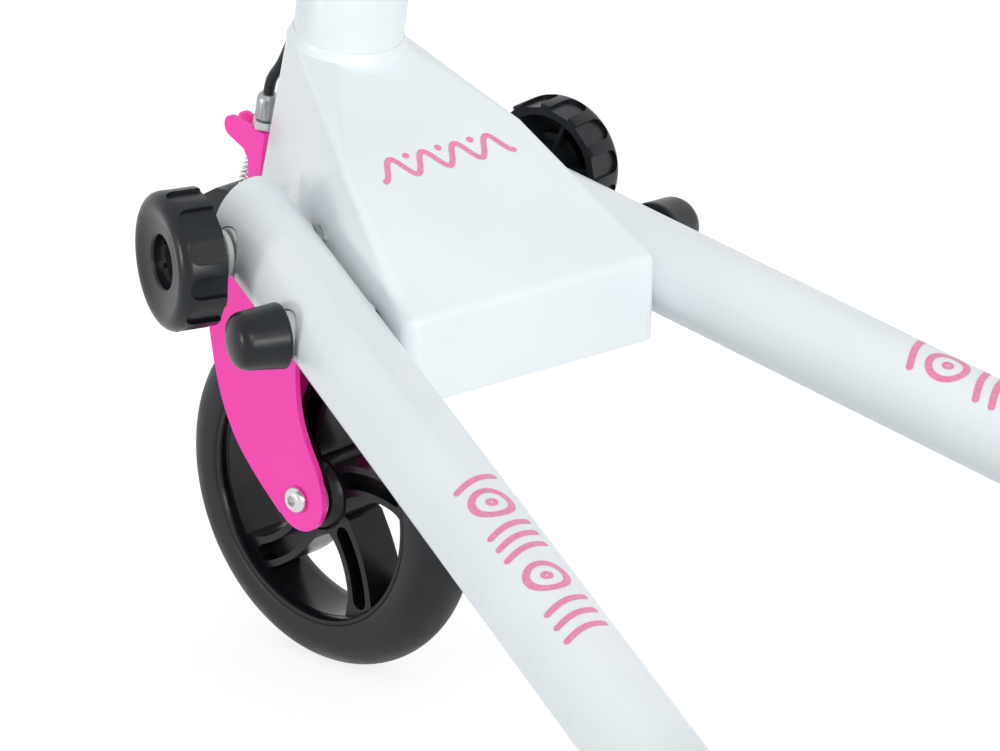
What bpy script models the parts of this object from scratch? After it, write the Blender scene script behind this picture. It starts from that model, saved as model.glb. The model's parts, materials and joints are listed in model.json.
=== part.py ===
"""Three-wheeled swing scooter, at rest on the floor, with its front wheel turned a little to the left.

+Z is up, the front faces -Y and the rider's left is +X. Sizes below are in millimetres.
Each moving group hangs on an empty that stands on its own joint axis.
"""
import math

import bmesh
import bpy
from mathutils import Matrix, Vector

MM = 0.001
GAP = 0.3

# Whole object
MIDDLE_Y = 283.7
WHEEL_R = 72.5
RAKE = math.radians(11.7)
STEER_TURN = math.radians(5.3)
AXIS_FOOT = (0.0, -22.3, WHEEL_R)

# Head tube and column, measured along the steering axis from the height of the axle
HEAD_R = 21.0
HEAD_BORE_R = 18.0
HEAD_LOW, HEAD_HIGH = 111.0, 251.0
STEERER_R = 14.0
COLUMN_R = 17.5
CLAMP_LOW, CLAMP_HIGH = 268.0, 296.0
BAR_S = 795.0
BAR_R = 11.1
BAR_HALF = 280.0
GRIP_R = 16.0
GRIP_LONG = 116.0

# Wedge-shaped body between the legs
REAR_Y = 127.0
REAR_HALF = 62.0
REAR_LOW, REAR_HIGH = 154.5, 187.0
UNDER_SLOPE = 0.25
TOP_SLOPE = 0.72
WALL_SLOPE = 0.2935
RIDGE_Y = 64.6
NOSE_R = 31.5
RING_R = 23.6
RING_Z = 259.0
SHEET = 2.2

# Fork, in the plane of the wheel
BLADE_IN, BLADE_OUT = 16.0, 19.0
CROWN_S = 96.0
BRAKE_PIVOT = (0.0, -38.0, 88.0)
WEB_Y = -33.6

# Front wheel
RIM_R = 53.0
RIM_HALF = 13.4
SPOKES = 5
SPOKE_HALF = 7.2
POCKET_HALF = 3.6
SPOKE_PHASE = 17.0
SPOKE_SWIRL = 0.62
AXLE_R = 4.0
BEARING_R = 11.0

# Legs
PIVOT = (57.0, 38.9, 193.9)
SPLAY = math.radians(15.34)
LEG_DROP = math.radians(14.07)
LEG_R = 17.4
LEG_WALL = 2.0
LEG_STRAIGHT = 363.5
DECK_TUBE = 176.0
LEG_NOSE = 17.6
SEAT = 13.6
WALL_AT = 20.0
PIN_AT = 59.0

# Knobs, pins, decks and casters
KNOB_R = 26.6
KNOB_IN, KNOB_OUT = 26.4, 44.8
KNOB_FLUTES = 12
BOLT_R = 5.0
PIN_R = 4.0
DECK_START, DECK_END, DECK_HALF, DECK_THICK = 34.0, 250.0, 55.0, 4.0
CASTER_AT = 205.0
CASTER_R = 36.0
CASTER_TRAIL = 28.0

ALONG_X = (0.0, math.pi / 2, 0.0)
SIDE_ON = (math.pi / 2, 0.0, math.pi / 2)


def clear_scene():
    for obj in list(bpy.data.objects):
        bpy.data.objects.remove(obj, do_unlink=True)


def new_collection(name):
    made = bpy.data.collections.new(name)
    bpy.context.scene.collection.children.link(made)
    return made


def material(name, colour, roughness, metallic=0.0):
    mat = bpy.data.materials.new(name)
    mat.use_nodes = True
    shader = mat.node_tree.nodes["Principled BSDF"]
    shader.inputs["Base Color"].default_value = (*colour, 1.0)
    shader.inputs["Roughness"].default_value = roughness
    shader.inputs["Metallic"].default_value = metallic
    mat.diffuse_color = (*colour, 1.0)
    return mat


clear_scene()
PARTS = new_collection("swing_scooter")
CUTTERS = new_collection("cutters")

WHITE = material("white_powder_coat", (0.84, 0.86, 0.88), 0.35)
PINK = material("pink_powder_coat", (1.0, 0.06, 0.46), 0.4)
BLACK = material("black_moulding", (0.018, 0.02, 0.023), 0.38)
RUBBER = material("black_rubber", (0.02, 0.02, 0.022), 0.7)
TYRE = material("grey_black_tyre", (0.03, 0.031, 0.034), 0.5)
CHROME = material("bright_plating", (0.75, 0.75, 0.75), 0.12, 1.0)
STEEL = material("plain_steel", (0.45, 0.45, 0.46), 0.35, 1.0)


def vec(point):
    return Vector(point) * MM


def empty(name, parent=None, at=(0, 0, 0), turn=(0, 0, 0), matrix=None):
    obj = bpy.data.objects.new(name, None)
    obj.empty_display_size = 0.02
    PARTS.objects.link(obj)
    obj.parent = parent
    if matrix is None:
        obj.location = vec(at)
        obj.rotation_euler = turn
    else:
        obj.matrix_local = matrix
    return obj


def add(name, data, mat, parent, at=(0, 0, 0), turn=(0, 0, 0)):
    obj = bpy.data.objects.new(name, data)
    PARTS.objects.link(obj)
    obj.parent = parent
    obj.location = vec(at)
    obj.rotation_euler = turn
    if data is not None and not data.materials:
        data.materials.append(mat)
    return obj


def smooth(mesh, angle=38.0):
    mesh.shade_smooth()
    mesh.set_sharp_from_angle(angle=math.radians(angle))


def turned(name, profile, mat, parent, at=(0, 0, 0), turn=(0, 0, 0), steps=20, closed=False):
    """A profile of (radius, height) points, from top to bottom on its outer side, spun about Z."""
    mesh = bpy.data.meshes.new(name)
    count = len(profile)
    edges = [(i, i + 1) for i in range(count - 1)]
    if closed:
        edges.append((count - 1, 0))
    mesh.from_pydata([(r * MM, 0.0, z * MM) for r, z in profile], edges, [])
    obj = add(name, mesh, mat, parent, at, turn)
    spin = obj.modifiers.new("spin", "SCREW")
    spin.axis = "Z"
    spin.steps = steps
    spin.render_steps = steps
    spin.use_merge_vertices = True
    spin.merge_threshold = 0.00001
    spin.use_smooth_shade = True
    return obj


def ring(name, outer, bore, low, high, mat, parent, at=(0, 0, 0), turn=(0, 0, 0), steps=20, ease=0.6):
    """A plain ring or tube, with its outer edges eased."""
    profile = [(bore, high), (outer - ease, high), (outer, high - ease), (outer, low + ease),
               (outer - ease, low), (bore, low)]
    if not ease:
        profile = [(bore, high), (outer, high), (outer, low), (bore, low)]
    return turned(name, profile, mat, parent, at, turn, steps, closed=True)


def arc(cx, cy, radius, start, end, count):
    """Points on an arc in degrees, both ends included."""
    step = (end - start) / (count - 1)
    angles = [math.radians(start + step * i) for i in range(count)]
    return [(cx + radius * math.cos(a), cy + radius * math.sin(a)) for a in angles]


def rounded_box_outline(low_x, high_x, low_y, high_y, radius, count=4):
    corners = ((high_x - radius, high_y - radius, 0), (low_x + radius, high_y - radius, 90),
               (low_x + radius, low_y + radius, 180), (high_x - radius, low_y + radius, 270))
    points = []
    for cx, cy, start in corners:
        points += arc(cx, cy, radius, start, start + 90, count)
    return points


def plate(name, outlines, thick, mat, parent, at=(0, 0, 0), turn=(0, 0, 0)):
    """Flat outlines in the local XY plane, filled and given half the thickness each way."""
    curve = bpy.data.curves.new(name, "CURVE")
    curve.dimensions = "2D"
    curve.fill_mode = "BOTH"
    curve.extrude = thick * MM / 2
    for outline in outlines:
        spline = curve.splines.new("POLY")
        spline.points.add(len(outline) - 1)
        for point, (x, y) in zip(spline.points, outline):
            point.co = (x * MM, y * MM, 0.0, 1.0)
        spline.use_cyclic_u = True
    return add(name, curve, mat, parent, at, turn)


def rod(name, points, radius, mat, parent, resolution=3, caps=True):
    """A round bar or wire through the points, in the parent's frame."""
    curve = bpy.data.curves.new(name, "CURVE")
    curve.dimensions = "3D"
    curve.bevel_depth = radius * MM
    curve.bevel_resolution = resolution
    curve.use_fill_caps = caps
    spline = curve.splines.new("POLY")
    spline.points.add(len(points) - 1)
    for point, co in zip(spline.points, points):
        point.co = (*vec(co), 1.0)
    return add(name, curve, mat, parent)


def smooth_path(points, spacing):
    """Evenly spaced points on a smooth curve through the given ones."""
    knots = [Vector(p) for p in points]
    knots = [knots[0] * 2 - knots[1]] + knots + [knots[-1] * 2 - knots[-2]]
    dense = []
    for a, b, c, d in zip(knots, knots[1:], knots[2:], knots[3:]):
        for i in range(40):
            t = i / 40
            dense.append(0.5 * (2 * b + (c - a) * t + (2 * a - 5 * b + 4 * c - d) * t ** 2
                                + (3 * b - a - 3 * c + d) * t ** 3))
    dense.append(knots[-2])
    total = sum((q - p).length for p, q in zip(dense, dense[1:]))
    count = max(2, round(total / spacing))
    step = total / count
    path, run = [dense[0]], 0.0
    for p, q in zip(dense, dense[1:]):
        run += (q - p).length
        if run >= step * len(path) - 1e-6 and len(path) < count:
            path.append(q)
    path.append(dense[-1])
    return [tuple(p) for p in path], total


def as_mesh(curve_obj):
    """The same object as a welded mesh, so that it can be cut."""
    bpy.context.view_layer.update()
    evaluated = curve_obj.evaluated_get(bpy.context.evaluated_depsgraph_get())
    mesh = bpy.data.meshes.new_from_object(evaluated)
    bm = bmesh.new()
    bm.from_mesh(mesh)
    bmesh.ops.remove_doubles(bm, verts=bm.verts, dist=0.000002)
    bmesh.ops.recalc_face_normals(bm, faces=bm.faces)
    bm.to_mesh(mesh)
    bm.free()
    name, parent, place = curve_obj.name, curve_obj.parent, curve_obj.matrix_world.copy()
    bpy.data.objects.remove(curve_obj, do_unlink=True)
    obj = bpy.data.objects.new(name, mesh)
    PARTS.objects.link(obj)
    obj.parent = parent
    obj.matrix_world = place
    return obj


def combine(obj, other, operation="DIFFERENCE"):
    """Cuts or joins with another object, which becomes a hidden guide."""
    PARTS.objects.unlink(other)
    CUTTERS.objects.link(other)
    other.hide_render = True
    other.display_type = "WIRE"
    mod = obj.modifiers.new(operation.lower(), "BOOLEAN")
    mod.operation = operation
    mod.solver = "EXACT"
    mod.object = other
    return obj


def cylinder(name, radius, low, high, parent, at=(0, 0, 0), turn=(0, 0, 0), steps=16):
    profile = [(0, high), (radius, high), (radius, low), (0, low)]
    return turned(name, profile, STEEL, parent, at, turn, steps)


def block(name, low, high, mat, parent, turn=(0, 0, 0), ease=0.0):
    mesh = bpy.data.meshes.new(name)
    bm = bmesh.new()
    bmesh.ops.create_cube(bm, size=1.0)
    size = vec(high) - vec(low)
    bmesh.ops.scale(bm, vec=size, verts=bm.verts)
    bmesh.ops.translate(bm, vec=vec(low) + size / 2, verts=bm.verts)
    if ease:
        bmesh.ops.bevel(bm, geom=bm.edges, offset=ease * MM, segments=2, profile=0.5, affect="EDGES")
    bm.to_mesh(mesh)
    bm.free()
    return add(name, mesh, mat, parent, turn=turn)


# Frames of reference
ROOT = empty("scooter", at=(0, -MIDDLE_Y, 0))
HEAD = empty("head_axis", ROOT, AXIS_FOOT, (-RAKE, 0, 0))
AXIS = Vector((0, math.sin(RAKE), math.cos(RAKE)))
ABOUT_AXIS = (Matrix.Translation(vec(AXIS_FOOT)) @ Matrix.Rotation(STEER_TURN, 4, AXIS)
              @ Matrix.Translation(-vec(AXIS_FOOT)))
STEERING = empty("steering", ROOT, matrix=ABOUT_AXIS)
STEER_AXIS = empty("steer_axis", STEERING, AXIS_FOOT, (-RAKE, 0, 0))
FRONT_AXLE = empty("front_axle", STEERING, (0, 0, WHEEL_R))
BRAKE_AXIS = empty("brake_axis", STEER_AXIS, BRAKE_PIVOT)


def axis_y(z):
    """Where the steering axis stands, front to back, at a height."""
    return AXIS_FOOT[1] + (z - WHEEL_R) * math.tan(RAKE)


def leg_frame(side):
    """X across the leg towards the rider's left, Y back along it, Z up from it."""
    along = Vector((side * math.sin(SPLAY) * math.cos(LEG_DROP),
                    math.cos(SPLAY) * math.cos(LEG_DROP), -math.sin(LEG_DROP)))
    across = Vector((math.cos(SPLAY), -side * math.sin(SPLAY), 0))
    up = across.cross(along)
    matrix = Matrix((across, along, up)).transposed().to_4x4()
    matrix.translation = vec((side * PIVOT[0], PIVOT[1], PIVOT[2]))
    return matrix


LEGS, DECKS, CASTERS, CASTER_AXLES = {}, {}, {}, {}
for SIDE, LABEL in ((1, "left"), (-1, "right")):
    LEGS[SIDE] = empty(f"leg_axis_{LABEL}", ROOT, matrix=leg_frame(SIDE))
    DECKS[SIDE] = empty(f"deck_{LABEL}", LEGS[SIDE], (0, LEG_STRAIGHT, 0), (LEG_DROP, 0, 0))
    DECK_Z = PIVOT[2] - LEG_STRAIGHT * math.sin(LEG_DROP)
    CASTERS[SIDE] = empty(f"swivel_{LABEL}", DECKS[SIDE], (0, CASTER_AT, -DECK_Z))
    CASTER_AXLES[SIDE] = empty(f"caster_axle_{LABEL}", CASTERS[SIDE], (0, CASTER_TRAIL, CASTER_R))


# Wedge-shaped body
def under_z(y):
    return REAR_LOW + UNDER_SLOPE * (REAR_Y - y)


def top_z(y):
    return REAR_HIGH + TOP_SLOPE * (REAR_Y - y)


def wall_x(y):
    return REAR_HALF - WALL_SLOPE * (REAR_Y - y)


def nose_points(inset=0.0):
    """The round nose under the head tube, struck from the steering axis."""
    centre = axis_y(193.0)
    points = []
    for degrees in range(-36, 37, 12):
        a = math.radians(degrees)
        y = centre - (NOSE_R - inset) * math.cos(a)
        points.append(((NOSE_R - inset) * math.sin(a), y))
    return points


def body_solid(name, inset=0.0):
    """The convex outside of the body: nose, head ring, ridge and tail."""
    points = [(x, y, under_z(y)) for x, y in nose_points(inset)]
    for side in (1, -1):
        points += [(side * (REAR_HALF - inset), REAR_Y - inset, REAR_LOW),
                   (side * (REAR_HALF - inset), REAR_Y - inset, REAR_HIGH - inset),
                   (side * (wall_x(RIDGE_Y) - inset), RIDGE_Y, top_z(RIDGE_Y) - inset)]
    for i in range(24):
        a = math.radians(15 * i + 7.5)
        y = (RING_R - inset) * math.cos(a)
        points.append(((RING_R - inset) * math.sin(a), axis_y(RING_Z) + y * math.cos(RAKE),
                       RING_Z - y * math.sin(RAKE)))
    mesh = bpy.data.meshes.new(name)
    bm = bmesh.new()
    for point in points:
        bm.verts.new(vec(point))
    bmesh.ops.convex_hull(bm, input=bm.verts)
    bmesh.ops.dissolve_limit(bm, angle_limit=math.radians(2), verts=bm.verts, edges=bm.edges)
    return mesh, bm


def body_shell():
    mesh, bm = body_solid("box_shell")
    bm.normal_update()
    crisp = [e for e in bm.edges if len(e.link_faces) == 2 and e.calc_face_angle() > math.radians(24)
             and all(f.normal.z > -0.8 for f in e.link_faces)
             and max(v.co.z for v in e.verts) < (RING_Z - 12) * MM]
    bmesh.ops.bevel(bm, geom=crisp, offset=5 * MM, segments=3, profile=0.5, affect="EDGES",
                    clamp_overlap=True)
    bm.normal_update()
    open_faces = [f for f in bm.faces if f.normal.z < -0.8]
    bmesh.ops.delete(bm, geom=open_faces, context="FACES")
    bm.to_mesh(mesh)
    bm.free()
    smooth(mesh)
    shell = add("box_shell", mesh, WHITE, ROOT)
    wall = shell.modifiers.new("sheet", "SOLIDIFY")
    wall.thickness = SHEET * MM
    wall.offset = -1
    wall.use_even_offset = True
    combine(shell, cylinder("head_hole", HEAD_R + GAP, 60, 300, HEAD, steps=28))
    for side in (1, -1):
        combine(shell, cylinder("pivot_hole", BOLT_R + GAP, -30, 30, LEGS[side],
                                (-side * WALL_AT, 0, 0), ALONG_X))
        combine(shell, cylinder("pin_hole", PIN_R + GAP, -8, 8, LEGS[side],
                                (-side * WALL_AT, PIN_AT, 0), ALONG_X))
    return shell


def body_floor():
    """The flat sheet that closes the body from below and stops round the back of the head tube."""
    inset = SHEET + 0.9
    slant = math.cos(math.atan(UNDER_SLOPE))
    middle = axis_y(under_z(0)) - REAR_Y
    outline = [(x, (y + middle) / slant) for x, y in arc(0, 0, HEAD_R + 1.6, 160, 20, 9)]
    front = 14.0
    wide = wall_x(front) - inset
    tail = -(inset + 0.7) / slant
    outline += [(wide, (front - REAR_Y) / slant), (REAR_HALF - inset - 1, tail),
                (-REAR_HALF + inset + 1, tail), (-wide, (front - REAR_Y) / slant)]
    return plate("box_floor", [outline], SHEET, WHITE, ROOT, (0, REAR_Y, REAR_LOW + 3.2),
                 (-math.atan(UNDER_SLOPE), 0, 0))


body_shell()
body_floor()
ring("head_tube", HEAD_R, HEAD_BORE_R, HEAD_LOW, HEAD_HIGH, WHITE, HEAD, steps=28, ease=0)
COLLAR_S = (RING_Z - WHEEL_R) / math.cos(RAKE)
turned("weld_collar", [(HEAD_R + GAP, COLLAR_S + 3.6), (HEAD_R + 0.9, COLLAR_S + 3.2),
                       (HEAD_R + 2.1, COLLAR_S + 2.3), (HEAD_R + 2.9, COLLAR_S + 1.2),
                       (HEAD_R + 3.0, COLLAR_S + 0.3), (HEAD_R + GAP, COLLAR_S + 0.3)],
       WHITE, HEAD, steps=28, closed=True)
BORE = STEERER_R + GAP
turned("lower_cup", [(BORE, 119), (17.6, 119), (17.6, HEAD_LOW - GAP), (20.4, HEAD_LOW - GAP),
                     (20.8, HEAD_LOW - 1), (20.2, 104.4), (BORE, 104.4)], CHROME, HEAD, closed=True)
turned("upper_cup", [(BORE, 257), (19.6, 257), (20.8, 255.6), (20.8, HEAD_HIGH + GAP),
                     (17.6, HEAD_HIGH + GAP), (17.6, 243), (BORE, 243)], BLACK, HEAD, closed=True)
for SIDE, LABEL in ((1, "left"), (-1, "right")):
    INSIDE = -SIDE * (WALL_AT + SHEET + 0.6)
    LOW, HIGH = sorted((INSIDE, INSIDE - SIDE * 14))
    ring(f"pivot_sleeve_{LABEL}", 9, BOLT_R + GAP, LOW, HIGH, STEEL, LEGS[SIDE], turn=ALONG_X, steps=16,
         ease=0)
    LOW, HIGH = sorted((-SIDE * (LEG_R + 0.4), -SIDE * (WALL_AT - 0.6)))
    ring(f"pivot_washer_{LABEL}", 9.5, BOLT_R + GAP, LOW, HIGH, BLACK, LEGS[SIDE], turn=ALONG_X,
         steps=20, ease=0)

# Fork
BLADE_EDGE = [(-52, 101), (-53.5, 88), (-49.5, 72), (-47, 55), (-45, 43), (-41, 29), (-34, 15.5),
              (-23, 3), (-11, -8)]
BLADE_BACK = [(14.5, 5), (12.5, 15), (8, 24), (4.5, 34), (3, 44), (3.6, 58), (8, 76), (16, 92)]


def fork():
    """One bent plate: the inverted U seen from the front, trimmed to the outline seen from the side."""
    outer = BLADE_OUT
    bend = 7.0
    top = CROWN_S
    thick = BLADE_OUT - BLADE_IN
    outside = [(-outer, -40)] + arc(-outer + bend, top - bend, bend, 180, 90, 5)
    outside += arc(outer - bend, top - bend, bend, 90, 0, 5) + [(outer, -40)]
    inner = bend - thick
    inside = [(BLADE_IN, -40)] + arc(BLADE_IN - inner, top - thick - inner, inner, 0, 90, 5)
    inside += arc(-BLADE_IN + inner, top - thick - inner, inner, 90, 180, 5) + [(-BLADE_IN, -40)]
    bent = as_mesh(plate("fork", [outside + inside], 200, PINK, STEER_AXIS, turn=(math.pi / 2, 0, 0)))
    top_line = [(20, 118), (-30, 124)]
    outline = BLADE_EDGE + arc(1, 0.5, 13.5, 218, 372, 9) + BLADE_BACK + top_line
    side = as_mesh(plate("fork_side", [outline], 60, PINK, FRONT_AXLE, turn=SIDE_ON))
    combine(bent, side, "INTERSECT")
    notch = block("crown_notch", (-BLADE_IN + 4, -70, CROWN_S - 20), (BLADE_IN - 4, WEB_Y + 2.4,
                                                                     CROWN_S + 30), PINK, STEER_AXIS)
    combine(bent, notch)
    combine(bent, cylinder("race", 19, CROWN_S - 1.5, 103.6, STEER_AXIS, steps=24), "UNION")
    combine(bent, cylinder("steerer_hole", STEERER_R + GAP, 60, 130, STEER_AXIS, steps=24))
    combine(bent, cylinder("axle_hole", AXLE_R + GAP, -40, 40, FRONT_AXLE, turn=ALONG_X))
    combine(bent, cylinder("pivot_pin_hole", 2.5 + GAP, -40, 40, BRAKE_AXIS, turn=ALONG_X))
    return bent


fork()
ring("steerer_tube", STEERER_R, STEERER_R - 2.4, CROWN_S - 8, CLAMP_HIGH - 4, STEEL, STEER_AXIS)
ring("headset_nut", 19.5, BORE + 0.7, 257.6, 263.4, CHROME, STEER_AXIS, steps=12, ease=1.0)


def column():
    """The tall tube over the steerer, coped round the bar at its top."""
    tube = ring("column_tube", COLUMN_R, STEERER_R + GAP, 264, BAR_S, WHITE, STEER_AXIS, ease=0.3)
    combine(tube, cylinder("bar_cope", BAR_R + GAP, -40, 40, STEER_AXIS, (0, 0, BAR_S), ALONG_X))
    return tube


def column_clamp():
    """A split collar with two ears at its back, drawn together by two bolts."""
    ears = rounded_box_outline(-8, 8, 16, 34, 2)
    clamp = ring("column_clamp", COLUMN_R + 5.5, COLUMN_R + GAP, CLAMP_LOW, CLAMP_HIGH, BLACK,
                 STEER_AXIS, steps=24, ease=0)
    middle = (CLAMP_LOW + CLAMP_HIGH) / 2
    lug = as_mesh(plate("clamp_lug", [ears], CLAMP_HIGH - CLAMP_LOW - 3, BLACK, STEER_AXIS,
                        (0, 0, middle)))
    combine(clamp, lug, "UNION")
    combine(clamp, cylinder("clamp_bore", COLUMN_R + GAP, CLAMP_LOW - 5, CLAMP_HIGH + 5, STEER_AXIS,
                            steps=24))
    combine(clamp, block("clamp_slit", (-1.2, 10, CLAMP_LOW - 5), (1.2, 50, CLAMP_HIGH + 5), BLACK,
                         STEER_AXIS))
    return clamp


column()
column_clamp()
ring("handlebar", BAR_R, BAR_R - 2, -BAR_HALF, BAR_HALF, WHITE, STEER_AXIS, (0, 0, BAR_S), ALONG_X)
for SIDE, LABEL in ((1, "left"), (-1, "right")):
    END = BAR_HALF + 3
    START = END - GRIP_LONG
    SHAPE = [(0, END), (12, END), (GRIP_R + 1.5, END - 2.5), (GRIP_R + 1.5, END - 6),
             (GRIP_R - 1, END - 9), (GRIP_R - 1, START + 12),
             (GRIP_R + 2.5, START + 5), (GRIP_R + 2.5, START + 1), (GRIP_R + 1.5, START),
             (BAR_R + GAP, START), (BAR_R + GAP, END - 2.6), (0, END - 2.6)]
    ring_turn = (0.0, SIDE * math.pi / 2, 0.0)
    turned(f"grip_{LABEL}", SHAPE, RUBBER, STEER_AXIS, (0, 0, BAR_S), ring_turn, steps=20)

# Hand brake on the rider's right
LEVER_X = -138.0
LEVER_PIVOT = (LEVER_X, -27.0, BAR_S)
LEVER_AXIS = empty("lever_axis", STEER_AXIS, LEVER_PIVOT)


def lever_bracket():
    """A ring round the bar with two cheeks that hold the lever."""
    mount = ring("lever_bracket", BAR_R + 4.5, BAR_R + GAP, -9, 9, BLACK, STEER_AXIS,
                 (LEVER_X, 0, BAR_S), ALONG_X, ease=0)
    cheeks = as_mesh(plate("cheeks", [rounded_box_outline(-9, 9, -35, -9, 4)], 16, BLACK, STEER_AXIS,
                           (LEVER_X, 0, BAR_S)))
    combine(mount, cheeks, "UNION")
    combine(mount, cylinder("ring_bore", BAR_R + GAP, -30, 30, STEER_AXIS, (LEVER_X, 0, BAR_S),
                            ALONG_X))
    slot = block("lever_slot", (LEVER_X - 20, -45, BAR_S - 4.4), (LEVER_X + 7.2, -17.5, BAR_S + 4.4),
                 BLACK, STEER_AXIS)
    combine(mount, slot)
    combine(mount, cylinder("lever_pin_hole", 2.5, -20, 20, LEVER_AXIS))
    combine(mount, cylinder("cable_stop", 4.5, 7.4, 20, STEER_AXIS, (LEVER_X, -25, BAR_S), ALONG_X,
                            steps=16), "UNION")
    combine(mount, cylinder("cable_hole", 1.4, 0, 30, STEER_AXIS, (LEVER_X, -25, BAR_S), ALONG_X,
                            steps=12))
    return mount


def brake_lever():
    """A flat blade that runs out in front of the grip and ends in a ball."""
    reach = [(-5.5, 4.2), (-22, 5), (-34, 0), (-60, -10.5), (-95, -17), (-126, -20)]
    under = [(-126, -28), (-95, -26.5), (-60, -20.5), (-30, -9), (-14, -6.5), (-5.5, -5.5)]
    outline = arc(0, 0, 5.8, -60, 60, 5) + reach + arc(-130, -24, 6.2, 60, 300, 9) + under
    lever = as_mesh(plate("brake_lever", [outline], 8, CHROME, LEVER_AXIS))
    combine(lever, cylinder("lever_bore", 2.5, -20, 20, LEVER_AXIS))
    return lever


lever_bracket()
brake_lever()
ring_pin = [(0, 9.4), (3.6, 9.4), (3.6, 8.4), (2.2, 8.4), (2.2, -8.6), (3.4, -8.6), (3.4, -9.4),
            (0, -9.4)]
turned("lever_pin", ring_pin, STEEL, STEER_AXIS, LEVER_PIVOT, steps=12)

# Bracket, adjuster and cable in front of the head tube
BRACKET_TOP = 136.0
CABLE_Y = -38.2


def brake_bracket():
    """A narrow channel of folded sheet with two round ears, stood on the front of the crown."""
    half, sheet, foot = 4.4, 1.8, CROWN_S - 2
    web = block("brake_bracket", (-half, WEB_Y - sheet, foot), (half, WEB_Y, BRACKET_TOP), PINK,
                STEER_AXIS)
    ear = [(WEB_Y - 0.4, 104), (WEB_Y - 0.4, BRACKET_TOP), (-43.6, BRACKET_TOP)]
    ear += arc(-52.5, 131.5, 4.6, 75, 262, 9) + [(-44.5, 124.5), (-43.2, 120), (-42.6, 110)]
    for side in (1, -1):
        flange = as_mesh(plate("flange", [ear], sheet, PINK, STEER_AXIS,
                               (side * (half - sheet / 2), 0, 0), SIDE_ON))
        combine(web, flange, "UNION")
    shelf = block("shelf", (-half + 0.2, -42.8, BRACKET_TOP - 2.2), (half - 0.2, WEB_Y - 0.4,
                                                                    BRACKET_TOP - 0.2), PINK, STEER_AXIS)
    combine(web, shelf, "UNION")
    combine(web, cylinder("cable_way", 1.6, 120, 150, STEER_AXIS, (0, CABLE_Y, 0), steps=12))
    return web


brake_bracket()
turned("adjuster_nut", [(1.8, 3.6), (4.2, 3.6), (4.9, 3.0), (4.9, 0.6), (4.2, 0), (1.8, 0)], CHROME,
       STEER_AXIS, (0, CABLE_Y, BRACKET_TOP + GAP), steps=6, closed=True)
turned("cable_adjuster", [(1.6, 14.5), (3.2, 14.5), (3.9, 13.7), (3.9, 4.4), (3.3, 3.9), (1.6, 3.9)],
       CHROME, STEER_AXIS, (0, CABLE_Y, BRACKET_TOP + 0.2), steps=12, closed=True)

ARM_TIE = (0.0, -46.9, 106.0)
CABLE_ROUTE = [(-117, -25, 795), (-98, -25.5, 795.5), (-70, -33, 793), (-38, -45, 770), (-14, -44, 715),
               (-4, -32, 640), (0, -24, 560), (0, -21.2, 480), (0, -21.2, 380), (-2.4, -25.4, 320),
               (-4.2, -27.2, 283), (-4.6, -26.3, 250), (-4.5, -25.9, 215), (-2.8, -27.9, 190), (-0.6, -32.6, 168),
               (0, -37.2, 158), (0, CABLE_Y, 151.4)]
CABLE_PATH, CABLE_LONG = smooth_path(CABLE_ROUTE, 17.0)
rod("brake_cable", CABLE_PATH, 2.2, BLACK, STEER_AXIS, resolution=2)
print("brake cable length, mm:", round(CABLE_LONG, 1))


def coil_points(foot, head, radius, turns, per_turn):
    """A helix with its axis from foot to head, starting and ending in a flat turn."""
    foot, head = Vector(foot), Vector(head)
    along = (head - foot).normalized()
    across = Vector((1, 0, 0))
    other = along.cross(across)
    count = turns * per_turn
    points = []
    for i in range(count + 1):
        a = 2 * math.pi * i / per_turn
        spot = foot.lerp(head, i / count)
        points.append(spot + radius * (math.cos(a) * across + math.sin(a) * other))
    return points


SPRING_R, SPRING_WIRE, SPRING_TURNS = 1.75, 0.45, 10
SPRING_FOOT, SPRING_HEAD = (0.0, -46.6, 108.6), (0.0, -41.3, 131.0)
SPRING = coil_points(SPRING_FOOT, SPRING_HEAD, SPRING_R, SPRING_TURNS, 8)
rod("brake_spring", [tuple(p) for p in SPRING], SPRING_WIRE, CHROME, STEER_AXIS, resolution=1)
LEAST = min((SPRING[i] - SPRING[j]).length for i in range(len(SPRING)) for j in range(i + 6, len(SPRING)))
print("least gap of the spring to itself, mm:", round(LEAST - 2 * SPRING_WIRE, 2))


WHEEL_FROM_PIVOT = (59.8, -83.5)
BRAKE_TRAVEL = math.radians(7.5)


def brake_arm():
    """A lever on the pin between the blades: the cable lifts its nose and its heel meets the tyre."""
    nose = [(-22, 2), (-25, 6), (-22, 11), (-14.5, 17.5), (-9, 18.9), (-5, 18), (-3.2, 13), (-2.4, 8)]
    heel = [(8, -2), (26, -4.3), (29.4, -7)]
    underside = arc(*WHEEL_FROM_PIVOT, 78.4, 112.5, 137, 7)
    outline = [(-12, -3)] + nose + arc(0, 0, 6.0, 80, 10, 4) + heel + underside
    arm = as_mesh(plate("brake_arm", [outline], 17, BLACK, BRAKE_AXIS, turn=SIDE_ON))
    combine(arm, cylinder("arm_bore", 2.6, -20, 20, BRAKE_AXIS, turn=ALONG_X))
    slot = block("nose_slot", (-4.9, -30, 4), (4.9, -0.5, 24), BLACK, BRAKE_AXIS)
    tie = block("nose_floor", (-5.0, -21.5, 3.8), (5.0, -4.6, 18.2), BLACK, BRAKE_AXIS)
    combine(slot, tie)
    combine(arm, slot)
    return arm


def brake_pad():
    """A block of rubber under the heel of the arm, shaped to the tyre as it stands when it presses."""
    y, z = WHEEL_FROM_PIVOT
    turn_cos, turn_sin = math.cos(BRAKE_TRAVEL), math.sin(BRAKE_TRAVEL)
    pressed = (y * turn_cos - z * turn_sin, y * turn_sin + z * turn_cos)
    outer = arc(y, z, 78.0, 113.5, 132, 5)
    face = arc(y, z, 74.2, 132, 124, 3) + arc(*pressed, WHEEL_R + GAP, 130, 124.5, 3)
    return plate("brake_pad", [outer + face], 20, RUBBER, BRAKE_AXIS, turn=SIDE_ON)


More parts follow.
